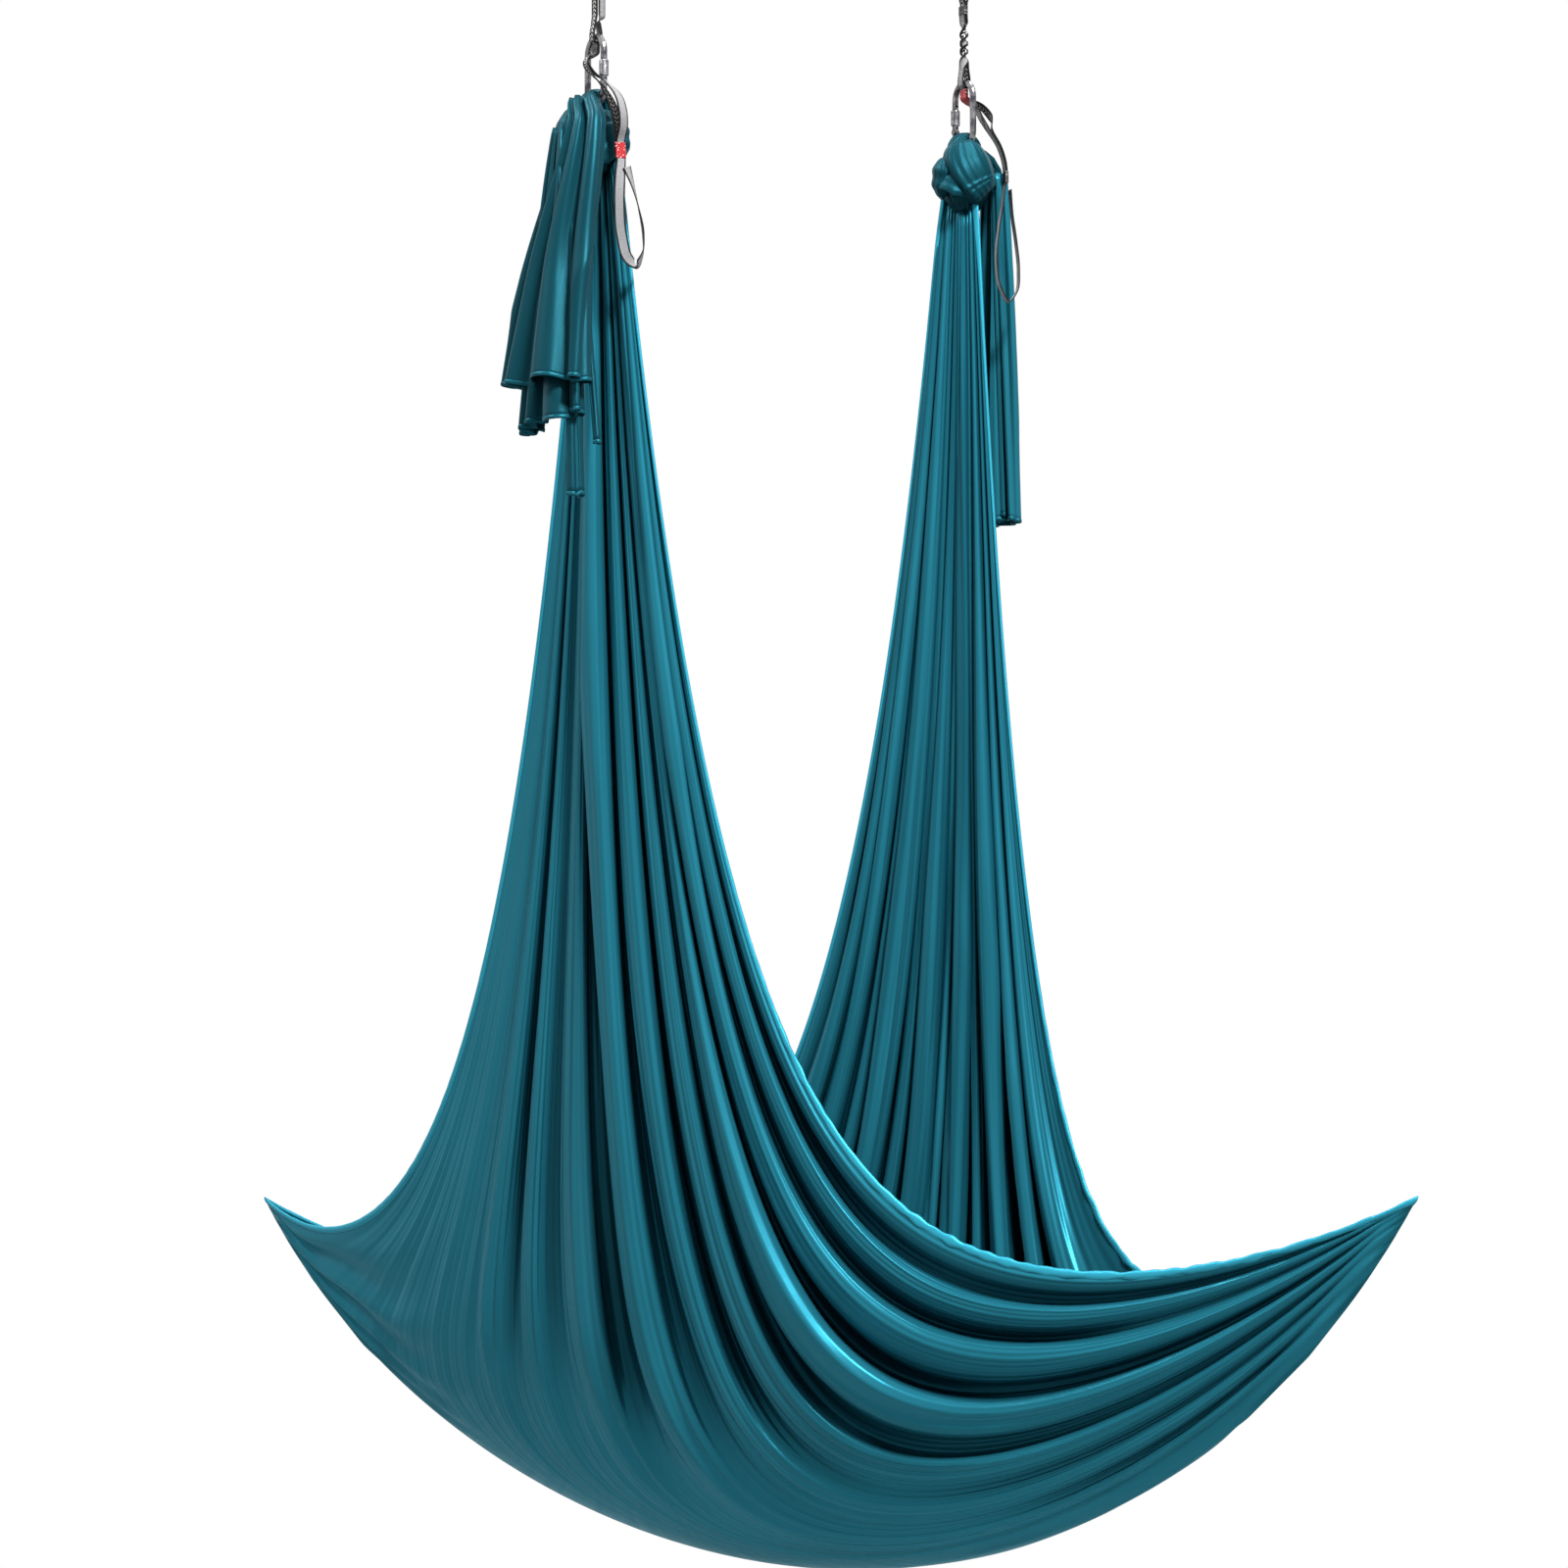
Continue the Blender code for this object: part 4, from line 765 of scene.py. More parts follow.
def knot_band(name):
    """The broad smooth band that crosses the front of the right knot and folds under it in a V."""
    toward = np.array((-0.4912, -0.8711, 0.0))
    across = np.array((0.8711, -0.4912, 0.0))
    along = np.linspace(0, 1, BAND_STEPS)[:, None]
    over = np.linspace(0, 1, BAND_COLUMNS)[None]
    left_edge, right_edge = (smooth_line(points, BAND_STEPS)[:, None] for points in (BAND_LEFT, BAND_RIGHT))
    flat = left_edge * (1 - over[..., None]) + right_edge * over[..., None]
    inside = 1 - (flat[..., 0] / BAND_OVAL[0]) ** 2 - ((flat[..., 1] - BAND_MIDDLE_Z) / BAND_OVAL[1]) ** 2
    depth = BAND_DEPTH * np.sqrt(np.maximum(inside, 0.0)) + 0.0035
    border = np.minimum(over, 1 - over) * 2
    depth = depth - SIDE_TUCK * (1 - ease(border * 4)) - FOOT_TUCK * (1 - ease((1 - along) * 14))
    depth = depth - TOP_TUCK * (1 - ease(along * 7))
    lips = ease((along - 0.80) / 0.03) * (1 - ease((along - 0.97) / 0.03))
    depth = depth + 0.0022 * lips * np.abs(np.sin(np.pi * (along - 0.80) / 0.062)) ** 0.7
    depth = depth + 0.0006 * np.sin(over * 34 + 2 * np.sin(along * 3)) * (0.4 + 0.6 * along)
    place = np.array((HALF_SPAN, 0.0, 0.0)) + flat[..., :1] * across + depth[..., None] * toward
    place[..., 2] = flat[..., 1]
    band = net_mesh(name, place, over * 0.05, along * 0.11, wrap_finish)
    thicken(band, BAND_THICKNESS)
    return band


def build_knot_cloth(label, side):
    """The cloth forms of one knot: body, wrap, saddle over the bar, lobe and the tail's stub."""
    heights = (KNOT_FOOT_Z, -0.343, -0.334, -0.322, -0.300, -0.278, -0.262)
    body = bundle(f"{label}_knot_bundle", side, [(0, 0, z) for z in heights],
                  (0.018, 0.020, 0.0265, 0.030, 0.031, 0.029, 0.020),
                  (0.012, 0.014, 0.0205, 0.026, 0.031, 0.029, 0.020),
                  [np.array((0.358, -0.934, 0.0)) * side] * 7, [np.array((0.934, 0.358, 0.0)) * side] * 7,
                  15, (0.0030, 0.0030, 0.0030, 0.003, 0.002, 0.002, 0.001), 0.7, 3)
    wrap = knot_wrap(label, side)
    foot = [(SADDLE_RADIUS + 0.006, 0, BAR_Z - 0.030), (SADDLE_RADIUS + 0.002, 0, BAR_Z - 0.014)]
    arch = foot + [(SADDLE_RADIUS * math.cos(turn), 0, BAR_Z + SADDLE_RADIUS * math.sin(turn))
                   for turn in np.linspace(0, math.pi, 9)] + [(-x, y, z) for x, y, z in foot[::-1]]
    saddle = flat_bundle(f"{label}_knot_saddle", side, arch, [0.0165] * len(arch), [0.0085] * len(arch),
                         0.0020, 0.25, 9)
    lobe = knot_lobe(label, side)
    route = [(SADDLE_RADIUS * 0.6, 0, BAR_Z - 0.004), (0.024, 0, BAR_Z - 0.006),
             (0.036, 0, BAR_Z - 0.014), (0.0455, 0, BAR_Z - 0.028), (TAIL_TOP_X, 0, TAIL_TOP_Z + 0.002),
             (TAIL_TOP_X, 0, TAIL_TOP_Z - 0.014)]
    stub = flat_bundle(f"{label}_knot_stub", side, route, (0.015, 0.017, 0.019, 0.020, 0.0205, 0.019),
                       (0.008, 0.0085, 0.0085, 0.0085, 0.0085, 0.007), 0.0016, 0.1, 13)
    forms = [body, wrap, saddle, lobe, stub]
    if side > 0:
        forms.append(knot_band(f"{label}_knot_band"))
    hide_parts(f"{label}_knot")
    for form in forms:
        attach(form, "sling")
    return forms


# Painted shade: the knot cloth is the sling's tricot at 0.21 of its brightness, the wraps at 0.25
knot_finish = tricot_finish("knot_tricot", painted_shade_and_creases=False, bump=0.22, lift=0.21)
wrap_finish = tricot_finish("wrap_tricot", painted_shade_and_creases=False, bump=0.30, lift=0.25)
knot_forms = build_knot_cloth("left", -1) + build_knot_cloth("right", 1)

# ------------------------------------------------------------------ Loose ends of the cloth
# The two ends of the same cloth hang from their knots in rounded pleats, cut straight across.
# The left end is broad and lies in layers, and its corners hang lower; the right one is narrow.
END_TOP_DEPTH = 0.009
END_TOP_WIDTH = 0.022
END_HEM_WIDTH = 0.0032
END_HEM_THICKNESS = 0.0011
END_HEM_INSET = 0.002
END_HEM_ROWS = 420
END_HEM_SIDES = 8
ROUND = math.radians(158)
end_tables = fold_tables(0.15)


def end_layer(start_at, rows, columns, start, end, top, deep, wide, out, shift, length, hem_wave,
              hem_tilt, seed, pleats, gather, fold, flat):
    """One layer of a loose end, a pleated sheet round an oval that widens: its points and its map."""
    swings, gathers, _, _, depths = end_tables
    share = np.linspace(0, 1, rows)[:, None]
    turn = np.linspace(0, 1, columns)[None]
    angle = between(start, end, turn)
    widen = share ** 0.8
    deep = between(END_TOP_DEPTH * top, deep, widen)
    wide = between(END_TOP_WIDTH * top, wide, widen)
    top_x, top_y, rise, bulge = start_at
    length = length + rise
    middle_x = between(top_x, out, widen)
    middle_y = between(top_y, shift, widen) + bulge * ease(share / 0.10) * (1 - ease((share - 0.14) / 0.5))
    hem = 1 + hem_wave * soft_waves(seed, turn * 2.0, turn * 0) + hem_tilt * (turn - 0.5)
    base = np.stack([middle_x + deep * np.cos(angle), middle_y + wide * np.sin(angle),
                     TAIL_TOP_Z + rise - length * share * hem], axis=-1)
    down, over, facing = surface_frame(base)
    outward = np.stack([np.cos(angle) * wide, np.sin(angle) * deep], axis=-1)
    facing = facing * np.sign((facing[..., :2] * outward).sum(-1, keepdims=True))
    phase = pleats * (turn + 0.075 * soft_waves(seed + 5, turn * 1.6, share * 0.25, 3))
    way, width = slope_of(phase, down, over)
    swing = np.minimum(np.interp(between(*gather, ease(share / 0.9)), gathers, swings),
                       np.interp(between(*fold, widen) / width, depths, swings))
    swing = swing * (1 + 0.18 * soft_waves(seed + 9, turn * 3.0, share * 0.5))
    aside, stand = fold_shape(end_tables, np.clip(swing, 0, 2.0), phase)
    place = base + way * (aside * width)[..., None] + facing * (stand * width)[..., None]
    fine = np.sin(2 * np.pi * phase * 3.3 + 1.5 * soft_waves(seed + 2, turn * 4, share))
    place = place + facing * (0.0011 * fine * (1 - 0.6 * share))[..., None]
    return place, turn * flat, share * length


def build_end(label, side, layers, end_finish):
    """One loose end: its layers as one cloth with a thin wall, and their turned hems."""
    sheets = []
    hems = []
    for number, layer in enumerate(layers):
        place, across, along = end_layer(**layer)
        place = rig_place(side, place)
        sheets.append(net_mesh(f"{label}_end_layer_{number}", place, across, along, end_finish))
        run, middle, inward, skin = edge_rows(place[-1], place[-2], END_HEM_ROWS)
        angle = turn_angles(END_HEM_SIDES)
        wide = END_HEM_WIDTH * np.cos(angle) + END_HEM_INSET
        ring = middle[:, None] + inward[:, None] * wide[None, :, None]
        ring = ring + skin[:, None] * (END_HEM_THICKNESS * np.sin(angle))[None, :, None]
        hems.append(closed_net(f"{label}_end_hem_{number}", ring, angle[None] * 0.002, run[:, None],
                               end_hem_finish))
    bpy.ops.object.select_all(action="DESELECT")
    for piece in sheets:
        piece.select_set(True)
    cloth = sheets[0]
    bpy.context.view_layer.objects.active = cloth
    bpy.ops.object.join()
    cloth.name = f"{label}_end_tricot_cloth"
    thicken(cloth, CLOTH_THICKNESS)
    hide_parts(f"{label}_cloth_end")
    for piece in [cloth] + hems:
        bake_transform(piece)


# Painted shade and light: the same tricot, the left end darkened to 0.25 and the end hems to 0.42, the
# right end kept lighter at 0.70 where it hangs in shadow
left_end_finish = tricot_finish("left_end_tricot", painted_shade_and_creases=False, bump=0.14, lift=0.25)
right_end_finish = tricot_finish("right_end_tricot", painted_shade_and_creases=False, bump=0.14, lift=0.70)
end_hem_finish = tricot_finish("end_hem_tricot", painted_shade_and_creases=False, bump=0.2, lift=0.42)
plain_layer = dict(start_at=(0.048, 0.0, 0.008, 0.0), rows=44, start=-ROUND, end=ROUND, hem_tilt=0.0)
left_layers = (
    dict(plain_layer, start_at=(0.026, 0.014, 0.046, 0.020), rows=52, columns=330, top=1.35, deep=0.026,
         wide=0.090, out=0.084, shift=0.022, length=0.342, hem_wave=0.012, hem_tilt=0.03, seed=4, pleats=6,
         gather=(4.4, 2.0), fold=(0.010, 0.030), flat=1.25),
    dict(plain_layer, columns=260, top=0.72, deep=0.016, wide=0.070, out=0.080, shift=0.030, length=0.397,
         hem_wave=0.020, hem_tilt=-0.04, seed=14, pleats=7, gather=(4.6, 2.8), fold=(0.008, 0.024),
         flat=1.0),
    dict(plain_layer, columns=90, start=math.radians(20), end=math.radians(160), top=0.5, deep=0.012,
         wide=0.025, out=0.078, shift=0.080, length=0.500, hem_wave=0.006, seed=24, pleats=2,
         gather=(2.4, 1.3), fold=(0.004, 0.008), flat=0.3),
    dict(plain_layer, columns=70, start=math.radians(60), end=math.radians(170), top=0.5, deep=0.008,
         wide=0.010, out=0.058, shift=0.108, length=0.432, hem_wave=0.0, seed=34, pleats=1,
         gather=(2.4, 1.3), fold=(0.003, 0.006), flat=0.2))
right_layers = (
    dict(plain_layer, rows=50, columns=230, top=1.0, deep=0.016, wide=0.054, out=0.063, shift=0.024,
         length=0.481, hem_wave=0.004, seed=6, pleats=5, gather=(4.4, 1.7), fold=(0.009, 0.014), flat=0.75),
    dict(plain_layer, rows=50, columns=200, top=0.7, deep=0.009, wide=0.044, out=0.062, shift=0.024,
         length=0.472, hem_wave=0.004, seed=16, pleats=5, gather=(4.4, 2.2), fold=(0.008, 0.011),
         flat=0.65))
build_end("left", -1, left_layers, left_end_finish)
build_end("right", 1, right_layers, right_end_finish)

# ------------------------------------------------------------------ Daisy chain straps
# Each strap is a black band with a white tracer and a grey band with painted black shade along its borders,
# 15 mm wide.
# They are sewn together at intervals, and the pocket between two seams takes the carabiner.
WEBBING_WIDTH = 0.015
WEBBING_THICKNESS = 0.0018
WEBBING_STEP = 0.0012
WEBBING_SHADES = (0.62, 1.30)
SHADED_BORDER_START = 0.0052
TRACER_STEP = 0.0058
TRACER_SHARE = 0.44
TRACER_EDGES = (0.0005, 0.0036)
RIB_STEP = 0.0011
YARN_STEP = 0.0009
YARN_BLACK = (0.006, 0.006, 0.0065)
YARN_WHITE = (0.70, 0.70, 0.68)
YARN_GREY = (0.25, 0.25, 0.26)
PLY_STEP = 0.00105
POCKET_HALF = 0.0057
BAR_TOP_Z = -0.160
BAR_BOTTOM_Z = -0.169
POCKET_TACK_Z = (-0.1830, -0.1740)
TWIST_Z = (-0.146, -0.079)
EYE_TACK_Z = (-0.068, -0.056)
EYE_HALF = 0.0099
EYE_MIDDLE_Z = -0.009
CHAIN_TOP_Z = -0.1833
CHAIN_DROP = 0.300
CHAIN_STEPS = 12
STRAP_ROWS = 90
KNOT_RADIUS = 0.040


def build_weave():
    """Group: the ribs of a woven band, a chevron tracer along its middle, and its borders for painted
    shade.
    """
    group, into, out = new_group("webbing_weave", {"Map": (0, 0, 0), "Shaded Border": SHADED_BORDER_START},
                                 ("Tracer", "Shaded Border", "Height", "Fuzz"))
    spread = add_node(group, "SeparateXYZ", {0: into["Map"]}).outputs
    aside = calc(group, "ABSOLUTE", spread[0])
    slant = calc(group, "MULTIPLY_ADD", aside, 1.1, spread[1])
    beat = calc(group, "FRACT", calc(group, "MULTIPLY", slant, 1 / TRACER_STEP))
    lit = calc(group, "LESS_THAN", beat, TRACER_SHARE)
    tracer = calc(group, "MULTIPLY", lit, calc(group, "LESS_THAN", aside, TRACER_EDGES[1]))
    tracer = calc(group, "MULTIPLY", tracer, calc(group, "GREATER_THAN", aside, TRACER_EDGES[0]))
    ribs = calc(group, "SINE", calc(group, "MULTIPLY", slant, 2 * math.pi / RIB_STEP))
    yarns = calc(group, "SINE", calc(group, "MULTIPLY", spread[0], 2 * math.pi / YARN_STEP))
    link_to(group, out, {
        "Tracer": tracer, "Shaded Border": calc(group, "GREATER_THAN", aside, into["Shaded Border"]),
        "Height": calc(group, "MULTIPLY_ADD", tracer, 1.2, calc(group, "ADD", ribs, yarns)),
        "Fuzz": clouds(group, into["Map"], scale=420.0, detail=4.0, roughness=0.7)})
    return group


webbing_weave = build_weave()


def webbing_finish(name, ground, marks, marked, roughness):
    """Woven webbing: its ground yarn, with a second colour as yarn marks on the tracer and as painted shade
    on the border.
    """
    finish, tree, shader = new_finish(f"{name}_woven", {"Specular IOR Level": 0.16})
    finish["slot"] = name
    weave = add_node(tree, "Group", {"Map": cloth_map(tree)}, node_tree=webbing_weave).outputs
    shades = ([shade * part for part in ground] for shade in WEBBING_SHADES)
    worn = mix_colours(tree, weave["Fuzz"], *shades)
    link_to(tree, shader, {
        "Base Color": mix_colours(tree, weave[marked], worn, marks),
        "Roughness": rescale(tree, weave["Fuzz"], 0.0, 1.0, roughness - 0.12, roughness + 0.12),
        "Normal": relief(tree, weave["Height"], strength=0.55, distance=0.0003)})
    return finish


black_webbing = webbing_finish("black_webbing", YARN_BLACK, YARN_WHITE, "Tracer", 0.70)
# Painted shade: the grey band is black along both borders, where its rounded edges turn from the light
grey_webbing = webbing_finish("grey_webbing", YARN_GREY, YARN_BLACK, "Shaded Border", 0.55)


def band_ways(places, across):
    """The ways across a band and off its face, square to its route."""
    along = unit(np.gradient(places, axis=0))
    across = unit(across - along * (across * along).sum(1, keepdims=True))
    return across, np.cross(along, across)


def route_frames(rows):
    """Places, widths and normals of a band: rows of a place and the heading of its width."""
    heading = np.radians(rows[:, 3])
    across = np.stack([np.cos(heading), np.sin(heading), 0 * heading], axis=1)
    return rows[:, :3], *band_ways(rows[:, :3], across)


def flat_ring(places, across, normals, half_width, half_thickness, count=20):
    """Rings of a flat band with rounded edges, and how far each point of a ring is to the side."""
    angle = turn_angles(count)
    wide = np.sign(np.cos(angle)) * np.abs(np.cos(angle)) ** 0.5
    thick = np.sign(np.sin(angle)) * np.abs(np.sin(angle)) ** 0.35
    ring = places[:, None] + across[:, None] * (half_width[:, None] * wide)[..., None]
    return ring + normals[:, None] * (half_thickness * thick)[None, :, None], wide


def strap_piece(name, node, ring, spread, run, finish):
    """A closed piece that stands for a CAD piece of the straps and rides with them."""
    piece = closed_net(name, ring, spread[None] * WEBBING_WIDTH / 2, run[:, None], finish)
    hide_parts(node)
    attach(piece, "straps")


def webbing(label, part, colour, places, across, wide=None):
    """One band of webbing."""
    finish = black_webbing if colour == "black" else grey_webbing
    wide = np.ones(len(places)) if wide is None else wide
    length = float(np.linalg.norm(np.diff(places, axis=0), axis=1).sum())
    rows = np.concatenate([places, across, wide[:, None]], axis=1)
    run, rows = resample(rows, int(length / WEBBING_STEP))
    ring, spread = flat_ring(rows[:, :3], *band_ways(rows[:, :3], rows[:, 3:6]),
                             WEBBING_WIDTH / 2 * rows[:, 6], WEBBING_THICKNESS / 2)
    name = f"{label}_{part}_{colour}"
    strap_piece(f"{name}_webbing", f"{name}_band", ring, spread, run, finish)


def smooth_route(points, steps):
    """Points along a smooth curve through the given ones."""
    rows = np.array(points, dtype=float)
    gaps = np.linalg.norm(np.diff(rows[:, :3], axis=0), axis=1)[:, None]
    slopes = np.diff(rows, axis=0) / gaps
    middle = (slopes[:-1] * gaps[1:] + slopes[1:] * gaps[:-1]) / (gaps[1:] + gaps[:-1])
    slopes = np.vstack([slopes[:1], middle, slopes[-1:]])
    route = []
    for index, gap in enumerate(gaps):
        for step in range(steps):
            t = step / steps
            start = rows[index] * (1 + 2 * t) + slopes[index] * gap * t
            end = rows[index + 1] * (3 - 2 * t) - slopes[index + 1] * gap * (1 - t)
            route.append(start * (1 - t) ** 2 + end * t ** 2)
    return np.array(route + [rows[-1]])


def eye_rows():
    """X and Z of the black band from the eye's seam up round the eye and down again."""
    share = np.linspace(0, 1, 8)
    rise_x = between(PLY_STEP, EYE_HALF, ease(share))
    rise_z = EYE_TACK_Z[1] + 0.030 * share
    angle = np.linspace(0, np.pi, 17)
    x = np.concatenate([[PLY_STEP], rise_x, EYE_HALF * np.cos(angle), -rise_x[::-1], [-PLY_STEP]])
    z = np.concatenate([EYE_TACK_Z[:1], rise_z, EYE_MIDDLE_Z + EYE_HALF * np.sin(angle), rise_z[::-1],
                        EYE_TACK_Z[:1]])
    return zip(x, z)


def build_strap(label, side, turns):
    """The two bands between the pocket's seam and the eye, straight or twisted like a rope."""
    pocket = zip((PLY_STEP, PLY_STEP, 0.0042, POCKET_HALF, POCKET_HALF, 0.0052),
                 (*POCKET_TACK_Z, -0.1715, BAR_BOTTOM_Z, BAR_TOP_Z, -0.1565))
    share = np.linspace(0, 1, STRAP_ROWS)
    z = between(*TWIST_Z, share)
    if turns:
        stand = 0.0019 + 0.0016 * (1 - ease(share * 5))
        swing = 2 * np.pi * turns * ease(share)
        narrow = 1 - 0.14 * ease(share * 5) * ease((1 - share) * 8)
        black, grey = (np.stack([hand * stand * np.cos(swing), hand * stand * np.sin(swing), z,
                                 90 + np.degrees(swing)], axis=1) for hand in (1, -1))
    else:
        open_v = ease(share * 6) * ease((1 - share) * 9)
        narrow = np.ones_like(share)
        black = np.stack([0.0032 - 0.0018 * open_v, -0.0010 * open_v, z, 90 + 2.6 * open_v], axis=1)
        grey = np.stack([-0.0032 - 0.0038 * open_v, 0.0034 * open_v, z, 90 - 61 * open_v], axis=1)
    pocket = np.array([(x, 0, z, 90) for x, z in pocket])
    ends = ([(x, 0, z, black[-1, 3]) for x, z in eye_rows()],
            [(-3 * PLY_STEP, 0, z, grey[-1, 3]) for z in EYE_TACK_Z])
    for colour, hand, body, end in (("black", 1, black, ends[0]), ("grey", -1, grey, ends[1])):
        rows = np.concatenate([pocket * (hand, 1, 1, 1), body, end])
        wide = np.concatenate([np.ones(len(pocket)), narrow, np.ones(len(end))])
        rows[:, :3] = rig_place(side, rows[:, :3])
        places, across, _ = route_frames(rows)
        webbing(label, "strap", colour, places, across, wide)


# Leftover chain: across and outward in knot radii, down in shares of the chain's drop, the width's
# heading in degrees, and how far the grey band, or below zero the black one, stands off in widths
LEFT_CHAIN = (
    (0.00, 0.00, 0.000, 90, 0.0), (0.00, 0.00, 0.008, 90, 0.0), (-0.25, 0.05, 0.034, 88, 0.0),
    (-0.42, -0.16, 0.066, 82, 0.0), (-0.43, -0.62, 0.125, 62, 0.1), (-0.26, -1.12, 0.195, 36, 0.4),
    (-0.06, -1.42, 0.285, 14, 0.9), (0.08, -1.50, 0.380, 8, 0.7), (0.12, -1.52, 0.450, 7, 0.0),
    (0.14, -1.55, 0.520, 7, 0.0))
LEFT_LOOP = (
    (0.14, -1.55, 0.520, 7), (0.05, -1.66, 0.600, -12), (-0.02, -1.78, 0.740, -40),
    (0.04, -1.85, 0.880, -30), (0.26, -1.88, 0.975, -5), (0.55, -1.86, 1.000, 25),
    (0.83, -1.80, 0.950, 55), (0.90, -1.74, 0.860, 70), (0.74, -1.70, 0.740, 62),
    (0.50, -1.68, 0.630, 40), (0.30, -1.68, 0.560, 15))
RIGHT_CHAIN = (
    (0.00, 0.00, 0.000, 90, 0.0), (0.00, 0.00, 0.008, 90, 0.0), (0.21, -0.09, 0.034, 86, -0.1),
    (0.34, -0.28, 0.066, 80, -0.5), (0.36, -0.66, 0.125, 76, -0.8), (0.40, -1.08, 0.190, 74, -0.1),
    (0.62, -1.32, 0.265, 74, 0.0), (0.76, -1.42, 0.340, 74, 0.0), (0.78, -1.46, 0.385, 74, 0.0),
    (0.76, -1.50, 0.440, 74, 0.0))
RIGHT_LOOP = (
    (0.76, -1.50, 0.440, 74), (0.58, -1.62, 0.530, 73), (0.30, -1.74, 0.680, 72),
    (0.18, -1.80, 0.820, 72), (0.32, -1.84, 0.940, 72), (0.64, -1.86, 1.000, 72),
    (0.98, -1.84, 0.950, 72), (1.10, -1.78, 0.850, 72), (1.04, -1.72, 0.720, 72),
    (0.92, -1.66, 0.590, 72), (0.84, -1.66, 0.470, 73))


def chain_route(shares, side):
    """Rows of a leftover chain's route, with its places, widths and normals."""
    rows = smooth_route([[side * HALF_SPAN + row[0] * KNOT_RADIUS, row[1] * KNOT_RADIUS,
                          CHAIN_TOP_Z - row[2] * CHAIN_DROP, *row[3:]] for row in shares], CHAIN_STEPS)
    return rows, *route_frames(rows)


def build_chain(label, side, chain, loop):
    """The leftover chain: two bands down to a seam, and the grey one on round the end loop."""
    rows, middles, across, normals = chain_route(chain, side)
    black = middles + side * (PLY_STEP + np.maximum(-rows[:, 4:5], 0) * WEBBING_WIDTH) * normals
    grey = middles - side * (PLY_STEP + np.maximum(rows[:, 4:5], 0) * WEBBING_WIDTH) * normals
    _, loop_middles, loop_across, _ = chain_route(loop, side)
    fade = 1 - ease(np.arange(1, len(loop_middles)) * 4 / len(loop_middles))
    rest = loop_middles[1:] + (grey[-1] - loop_middles[0]) * fade[:, None]
    webbing(label, "chain", "black", black, across)
    webbing(label, "chain", "grey", np.concatenate([grey, rest]), np.concatenate([across, loop_across[1:]]))
    return middles, across


build_strap("left", -1, 0)
build_strap("right", 1, 2)
left_chain = build_chain("left", -1, LEFT_CHAIN, LEFT_LOOP)
right_chain = build_chain("right", 1, RIGHT_CHAIN, RIGHT_LOOP)

# ------------------------------------------------------------------ Seams of the straps
# Bar tacks of thick bonded thread, red and black, zigzagged close together over the bands.
# They close each pocket and eye, and hold the leftover chain's bands together above its loop.
THREAD_STEP = 0.0011
THREAD_SWELL = 0.0005
SEAM_SPARE = 0.0009
SEAM_SIDES = 28
SEAM_ROWS = 90
POCKET_SEAM_Z = (-0.1742, -0.1792)
CHAIN_PART_Z = (-0.1935, -0.1845)
SEAM_HALF = PLY_STEP + WEBBING_THICKNESS / 2 + SEAM_SPARE / 2
CHAIN_SEAM_ROWS = 13


def thread_finish(name, ground, speck, specks):
    """Rows of bonded thread, with some rows of the paler webbing showing through."""
    finish, tree, shader = new_finish(f"{name}_woven", {"Specular IOR Level": 0.5})
    finish["slot"] = name
    grain = clouds(tree, cloth_map(tree), scale=330.0, detail=2.0)
    link_to(tree, shader, {
        "Base Color": mix_colours(tree, rescale(tree, grain, specks, specks + 0.06), ground, speck),
        "Roughness": rescale(tree, grain, 0.0, 1.0, 0.35, 0.6)})
    return finish


def seam(label, part, places, across, half_thickness, finish):
    """Close rows of thread round the bands that they sew together."""
    run, rows = resample(np.concatenate([places, across], axis=1), SEAM_ROWS)
    across, normals = band_ways(rows[:, :3], rows[:, 3:6])
    swell = THREAD_SWELL * np.abs(np.sin(np.pi * run / THREAD_STEP)) ** 0.6
    ring, spread = flat_ring(rows[:, :3], across, normals, WEBBING_WIDTH / 2 + swell, half_thickness,
                             SEAM_SIDES)
    faces = np.sign(np.round(np.sin(turn_angles(SEAM_SIDES)), 6))
    ring = ring + normals[:, None] * (swell[:, None] * faces)[..., None]
    strap_piece(f"{label}_{part}_seam", f"{label}_{part}_tack", ring, spread, run, finish)


red_thread = thread_finish("red_thread", (0.30, 0.0015, 0.005), (0.80, 0.45, 0.45), 0.58)
black_thread = thread_finish("black_thread", (0.012, 0.012, 0.012), (0.16, 0.16, 0.16), 0.60)
for label, side, (middles, across), pocket_thread, chain_thread in (
        ("left", -1, left_chain, black_thread, red_thread),
        ("right", 1, right_chain, red_thread, black_thread)):
    upper = rig_place(side, [(0, 0, z) for z in POCKET_SEAM_Z])
    lower = middles[(middles[:, 2] > CHAIN_PART_Z[0]) & (middles[:, 2] < CHAIN_PART_Z[1])]
    square = [(0, side, 0)] * 2
    lower_ways = across[:len(lower)] * side * np.sign(across[0, 1] * side)
    seam(label, "pocket", np.concatenate([upper, lower]), np.concatenate([square, lower_ways]), SEAM_HALF,
         pocket_thread)
    seam(label, "eye", rig_place(side, [(-PLY_STEP, 0, z) for z in EYE_TACK_Z]), np.array(square),
         SEAM_HALF + PLY_STEP, black_thread)
    seam(label, "chain", middles[-CHAIN_SEAM_ROWS:], across[-CHAIN_SEAM_ROWS:], SEAM_HALF, chain_thread)

# ------------------------------------------------------------------ Carabiners
# Screw-gate carabiners of forged and polished steel: bright where hands and webbing rub them,
# duller and darker elsewhere. The locking sleeve is knurled and the spring is bare wire.
SCRATCHES = (1500, 1500, 130)
STEEL_RELIEF = 0.0004
KNURL_TURNS = 26.0
KNURL_SLOPE = 2600.0


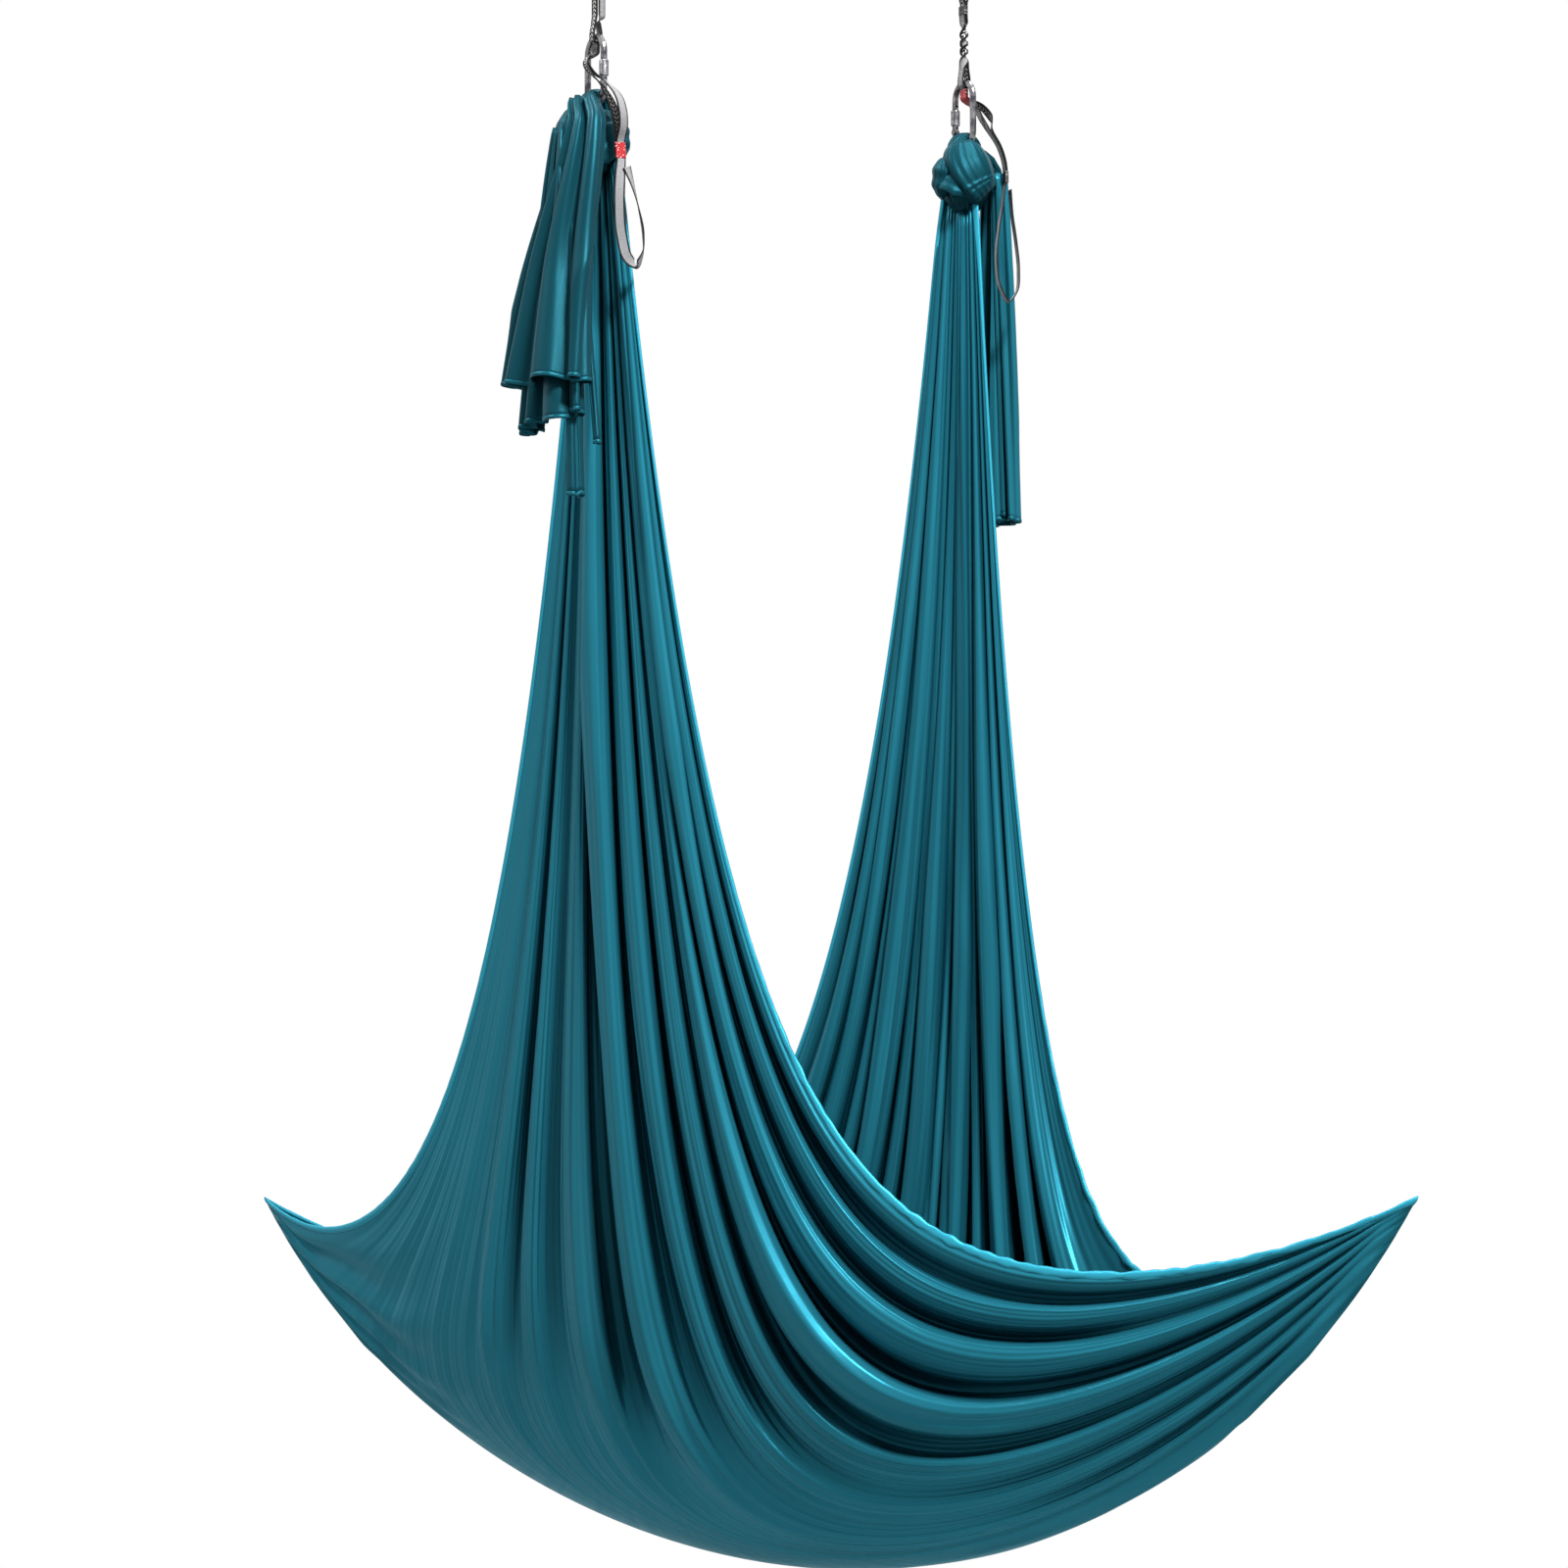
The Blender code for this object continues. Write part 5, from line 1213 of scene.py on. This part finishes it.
def build_wear():
    """Group: brushed scratches and a patchy tarnish, from a place in metres."""
    group, into, out = new_group("metal_wear", {"Place": (0, 0, 0), "Patches per m": 90.0},
                                 ("Tarnish", "Scratch"))
    patch = clouds(group, into["Place"], into["Patches per m"], detail=5.0, roughness=0.6)
    stretched = add_node(group, "VectorMath", {0: into["Place"], 1: SCRATCHES}, operation="MULTIPLY")
    link_to(group, out, {"Tarnish": rescale(group, patch, 0.40, 0.62),
                         "Scratch": clouds(group, stretched.outputs[0], scale=1.0, detail=3.0)})
    return group


metal_wear = build_wear()


def steel_finish(name, bright, dull, smooth, rough, knurled=False):
    """Steel with wear, and the diamond knurl of a grip where one is asked for."""
    finish, tree, shader = new_finish(name, {"Metallic": 1.0})
    place = add_node(tree, "TexCoord").outputs["Object"]
    wear = add_node(tree, "Group", {"Place": place}, node_tree=metal_wear).outputs
    height, strength = wear["Scratch"], 0.12
    if knurled:
        spread = add_node(tree, "SeparateXYZ", {0: place}).outputs
        turn = calc(tree, "MULTIPLY", calc(tree, "ARCTAN2", spread[1], spread[0]), KNURL_TURNS)
        ribs = [calc(tree, "SINE", calc(tree, "MULTIPLY_ADD", spread[2], slope, turn))
                for slope in (-KNURL_SLOPE, KNURL_SLOPE)]
        height, strength = calc(tree, "MULTIPLY", *ribs), 0.8
    link_to(tree, shader, {
        "Base Color": mix_colours(tree, wear["Tarnish"], bright, dull),
        "Roughness": rescale(tree, wear["Scratch"], 0.3, 0.7, smooth, rough),
        "Normal": relief(tree, height, strength, STEEL_RELIEF)})
    return finish


body_steel = steel_finish("polished_steel", (0.26, 0.26, 0.27), (0.07, 0.07, 0.08), 0.16, 0.34)
grip_steel = steel_finish("knurled_steel", (0.24, 0.24, 0.25), (0.09, 0.09, 0.10), 0.26, 0.44, knurled=True)
pin_steel = steel_finish("drawn_steel", (0.22, 0.22, 0.22), (0.10, 0.10, 0.10), 0.24, 0.42)
spring_steel = steel_finish("spring_steel", (0.16, 0.16, 0.155), (0.07, 0.065, 0.06), 0.28, 0.48)
for label in ("left", "right"):
    for part, finish in (("carabiner_body", body_steel), ("gate", body_steel),
                         ("locking_sleeve", grip_steel), ("hinge_pin", pin_steel), ("latch_pin", pin_steel),
                         ("gate_plunger", pin_steel), ("gate_spring", spring_steel)):
        for place in bpy.data.objects[f"{label}_{part}"].material_slots:
            place.material = finish

# ------------------------------------------------------------------ Floor and light
# The hammock hangs clear of a plain pale floor that fades into a white background.
# Three large lamps light it softly from the front left, the back left and above.
FLOOR_Z = -2.85
FLOOR_RADIUS = 6.5
FLOOR_GREY = (0.38, 0.38, 0.38, 1)
WHITE = (1, 1, 1, 1)
FLOOR_WHITENESS = 0.85
WORLD_POWER = (0.07, 1.0)
LAMP_AIM = (0, 0, -1.2)

bpy.ops.object.select_all(action="DESELECT")
bpy.ops.mesh.primitive_circle_add(vertices=128, radius=FLOOR_RADIUS, fill_type="NGON",
                                  location=(0, 0, FLOOR_Z))
floor = bpy.context.object
floor.name = "studio_floor"
floor_finish, tree, shader = new_finish("pale_floor", {"Base Color": FLOOR_GREY, "Roughness": 0.75})
rays = add_node(tree, "LightPath").outputs
share = calc(tree, "MULTIPLY", rays["Is Camera Ray"], FLOOR_WHITENESS)
white = add_node(tree, "Emission", {"Color": WHITE, "Strength": 1.0})
mixed = add_node(tree, "MixShader", {0: share, 1: shader.outputs[0], 2: white.outputs[0]})
link_to(tree, tree.nodes["Material Output"], {"Surface": mixed.outputs[0]})
floor.data.materials.append(floor_finish)

world = bpy.data.worlds.new("studio")
bpy.context.scene.world = world
world.use_nodes = True
tree = world.node_tree
plain = tree.nodes["Background"]
plain.inputs["Color"].default_value = WHITE
rays = add_node(tree, "LightPath").outputs
seen = calc(tree, "MAXIMUM", rays["Is Camera Ray"], rays["Is Glossy Ray"])
seen = calc(tree, "MAXIMUM", seen, rays["Is Transmission Ray"])
link_to(tree, plain, {"Strength": rescale(tree, seen, 0.0, 1.0, *WORLD_POWER)})

for label, place, size, watts in (("key_lamp", (-0.7, -4.6, 4.2), 1.2, 1290),
                                  ("side_lamp", (-3.9, 2.6, 4.2), 1.2, 360),
                                  ("top_lamp", (1.2, 0.4, 3.2), 1.3, 80)):
    lamp = bpy.data.lights.new(label, "AREA")
    lamp.size = size
    lamp.energy = watts
    stand = bpy.data.objects.new(label, lamp)
    bpy.context.scene.collection.objects.link(stand)
    stand.location = place
    stand.rotation_mode = "QUATERNION"
    stand.rotation_quaternion = (Vector(LAMP_AIM) - Vector(place)).to_track_quat("-Z", "Y")

bpy.context.scene.view_settings.view_transform = "Standard"
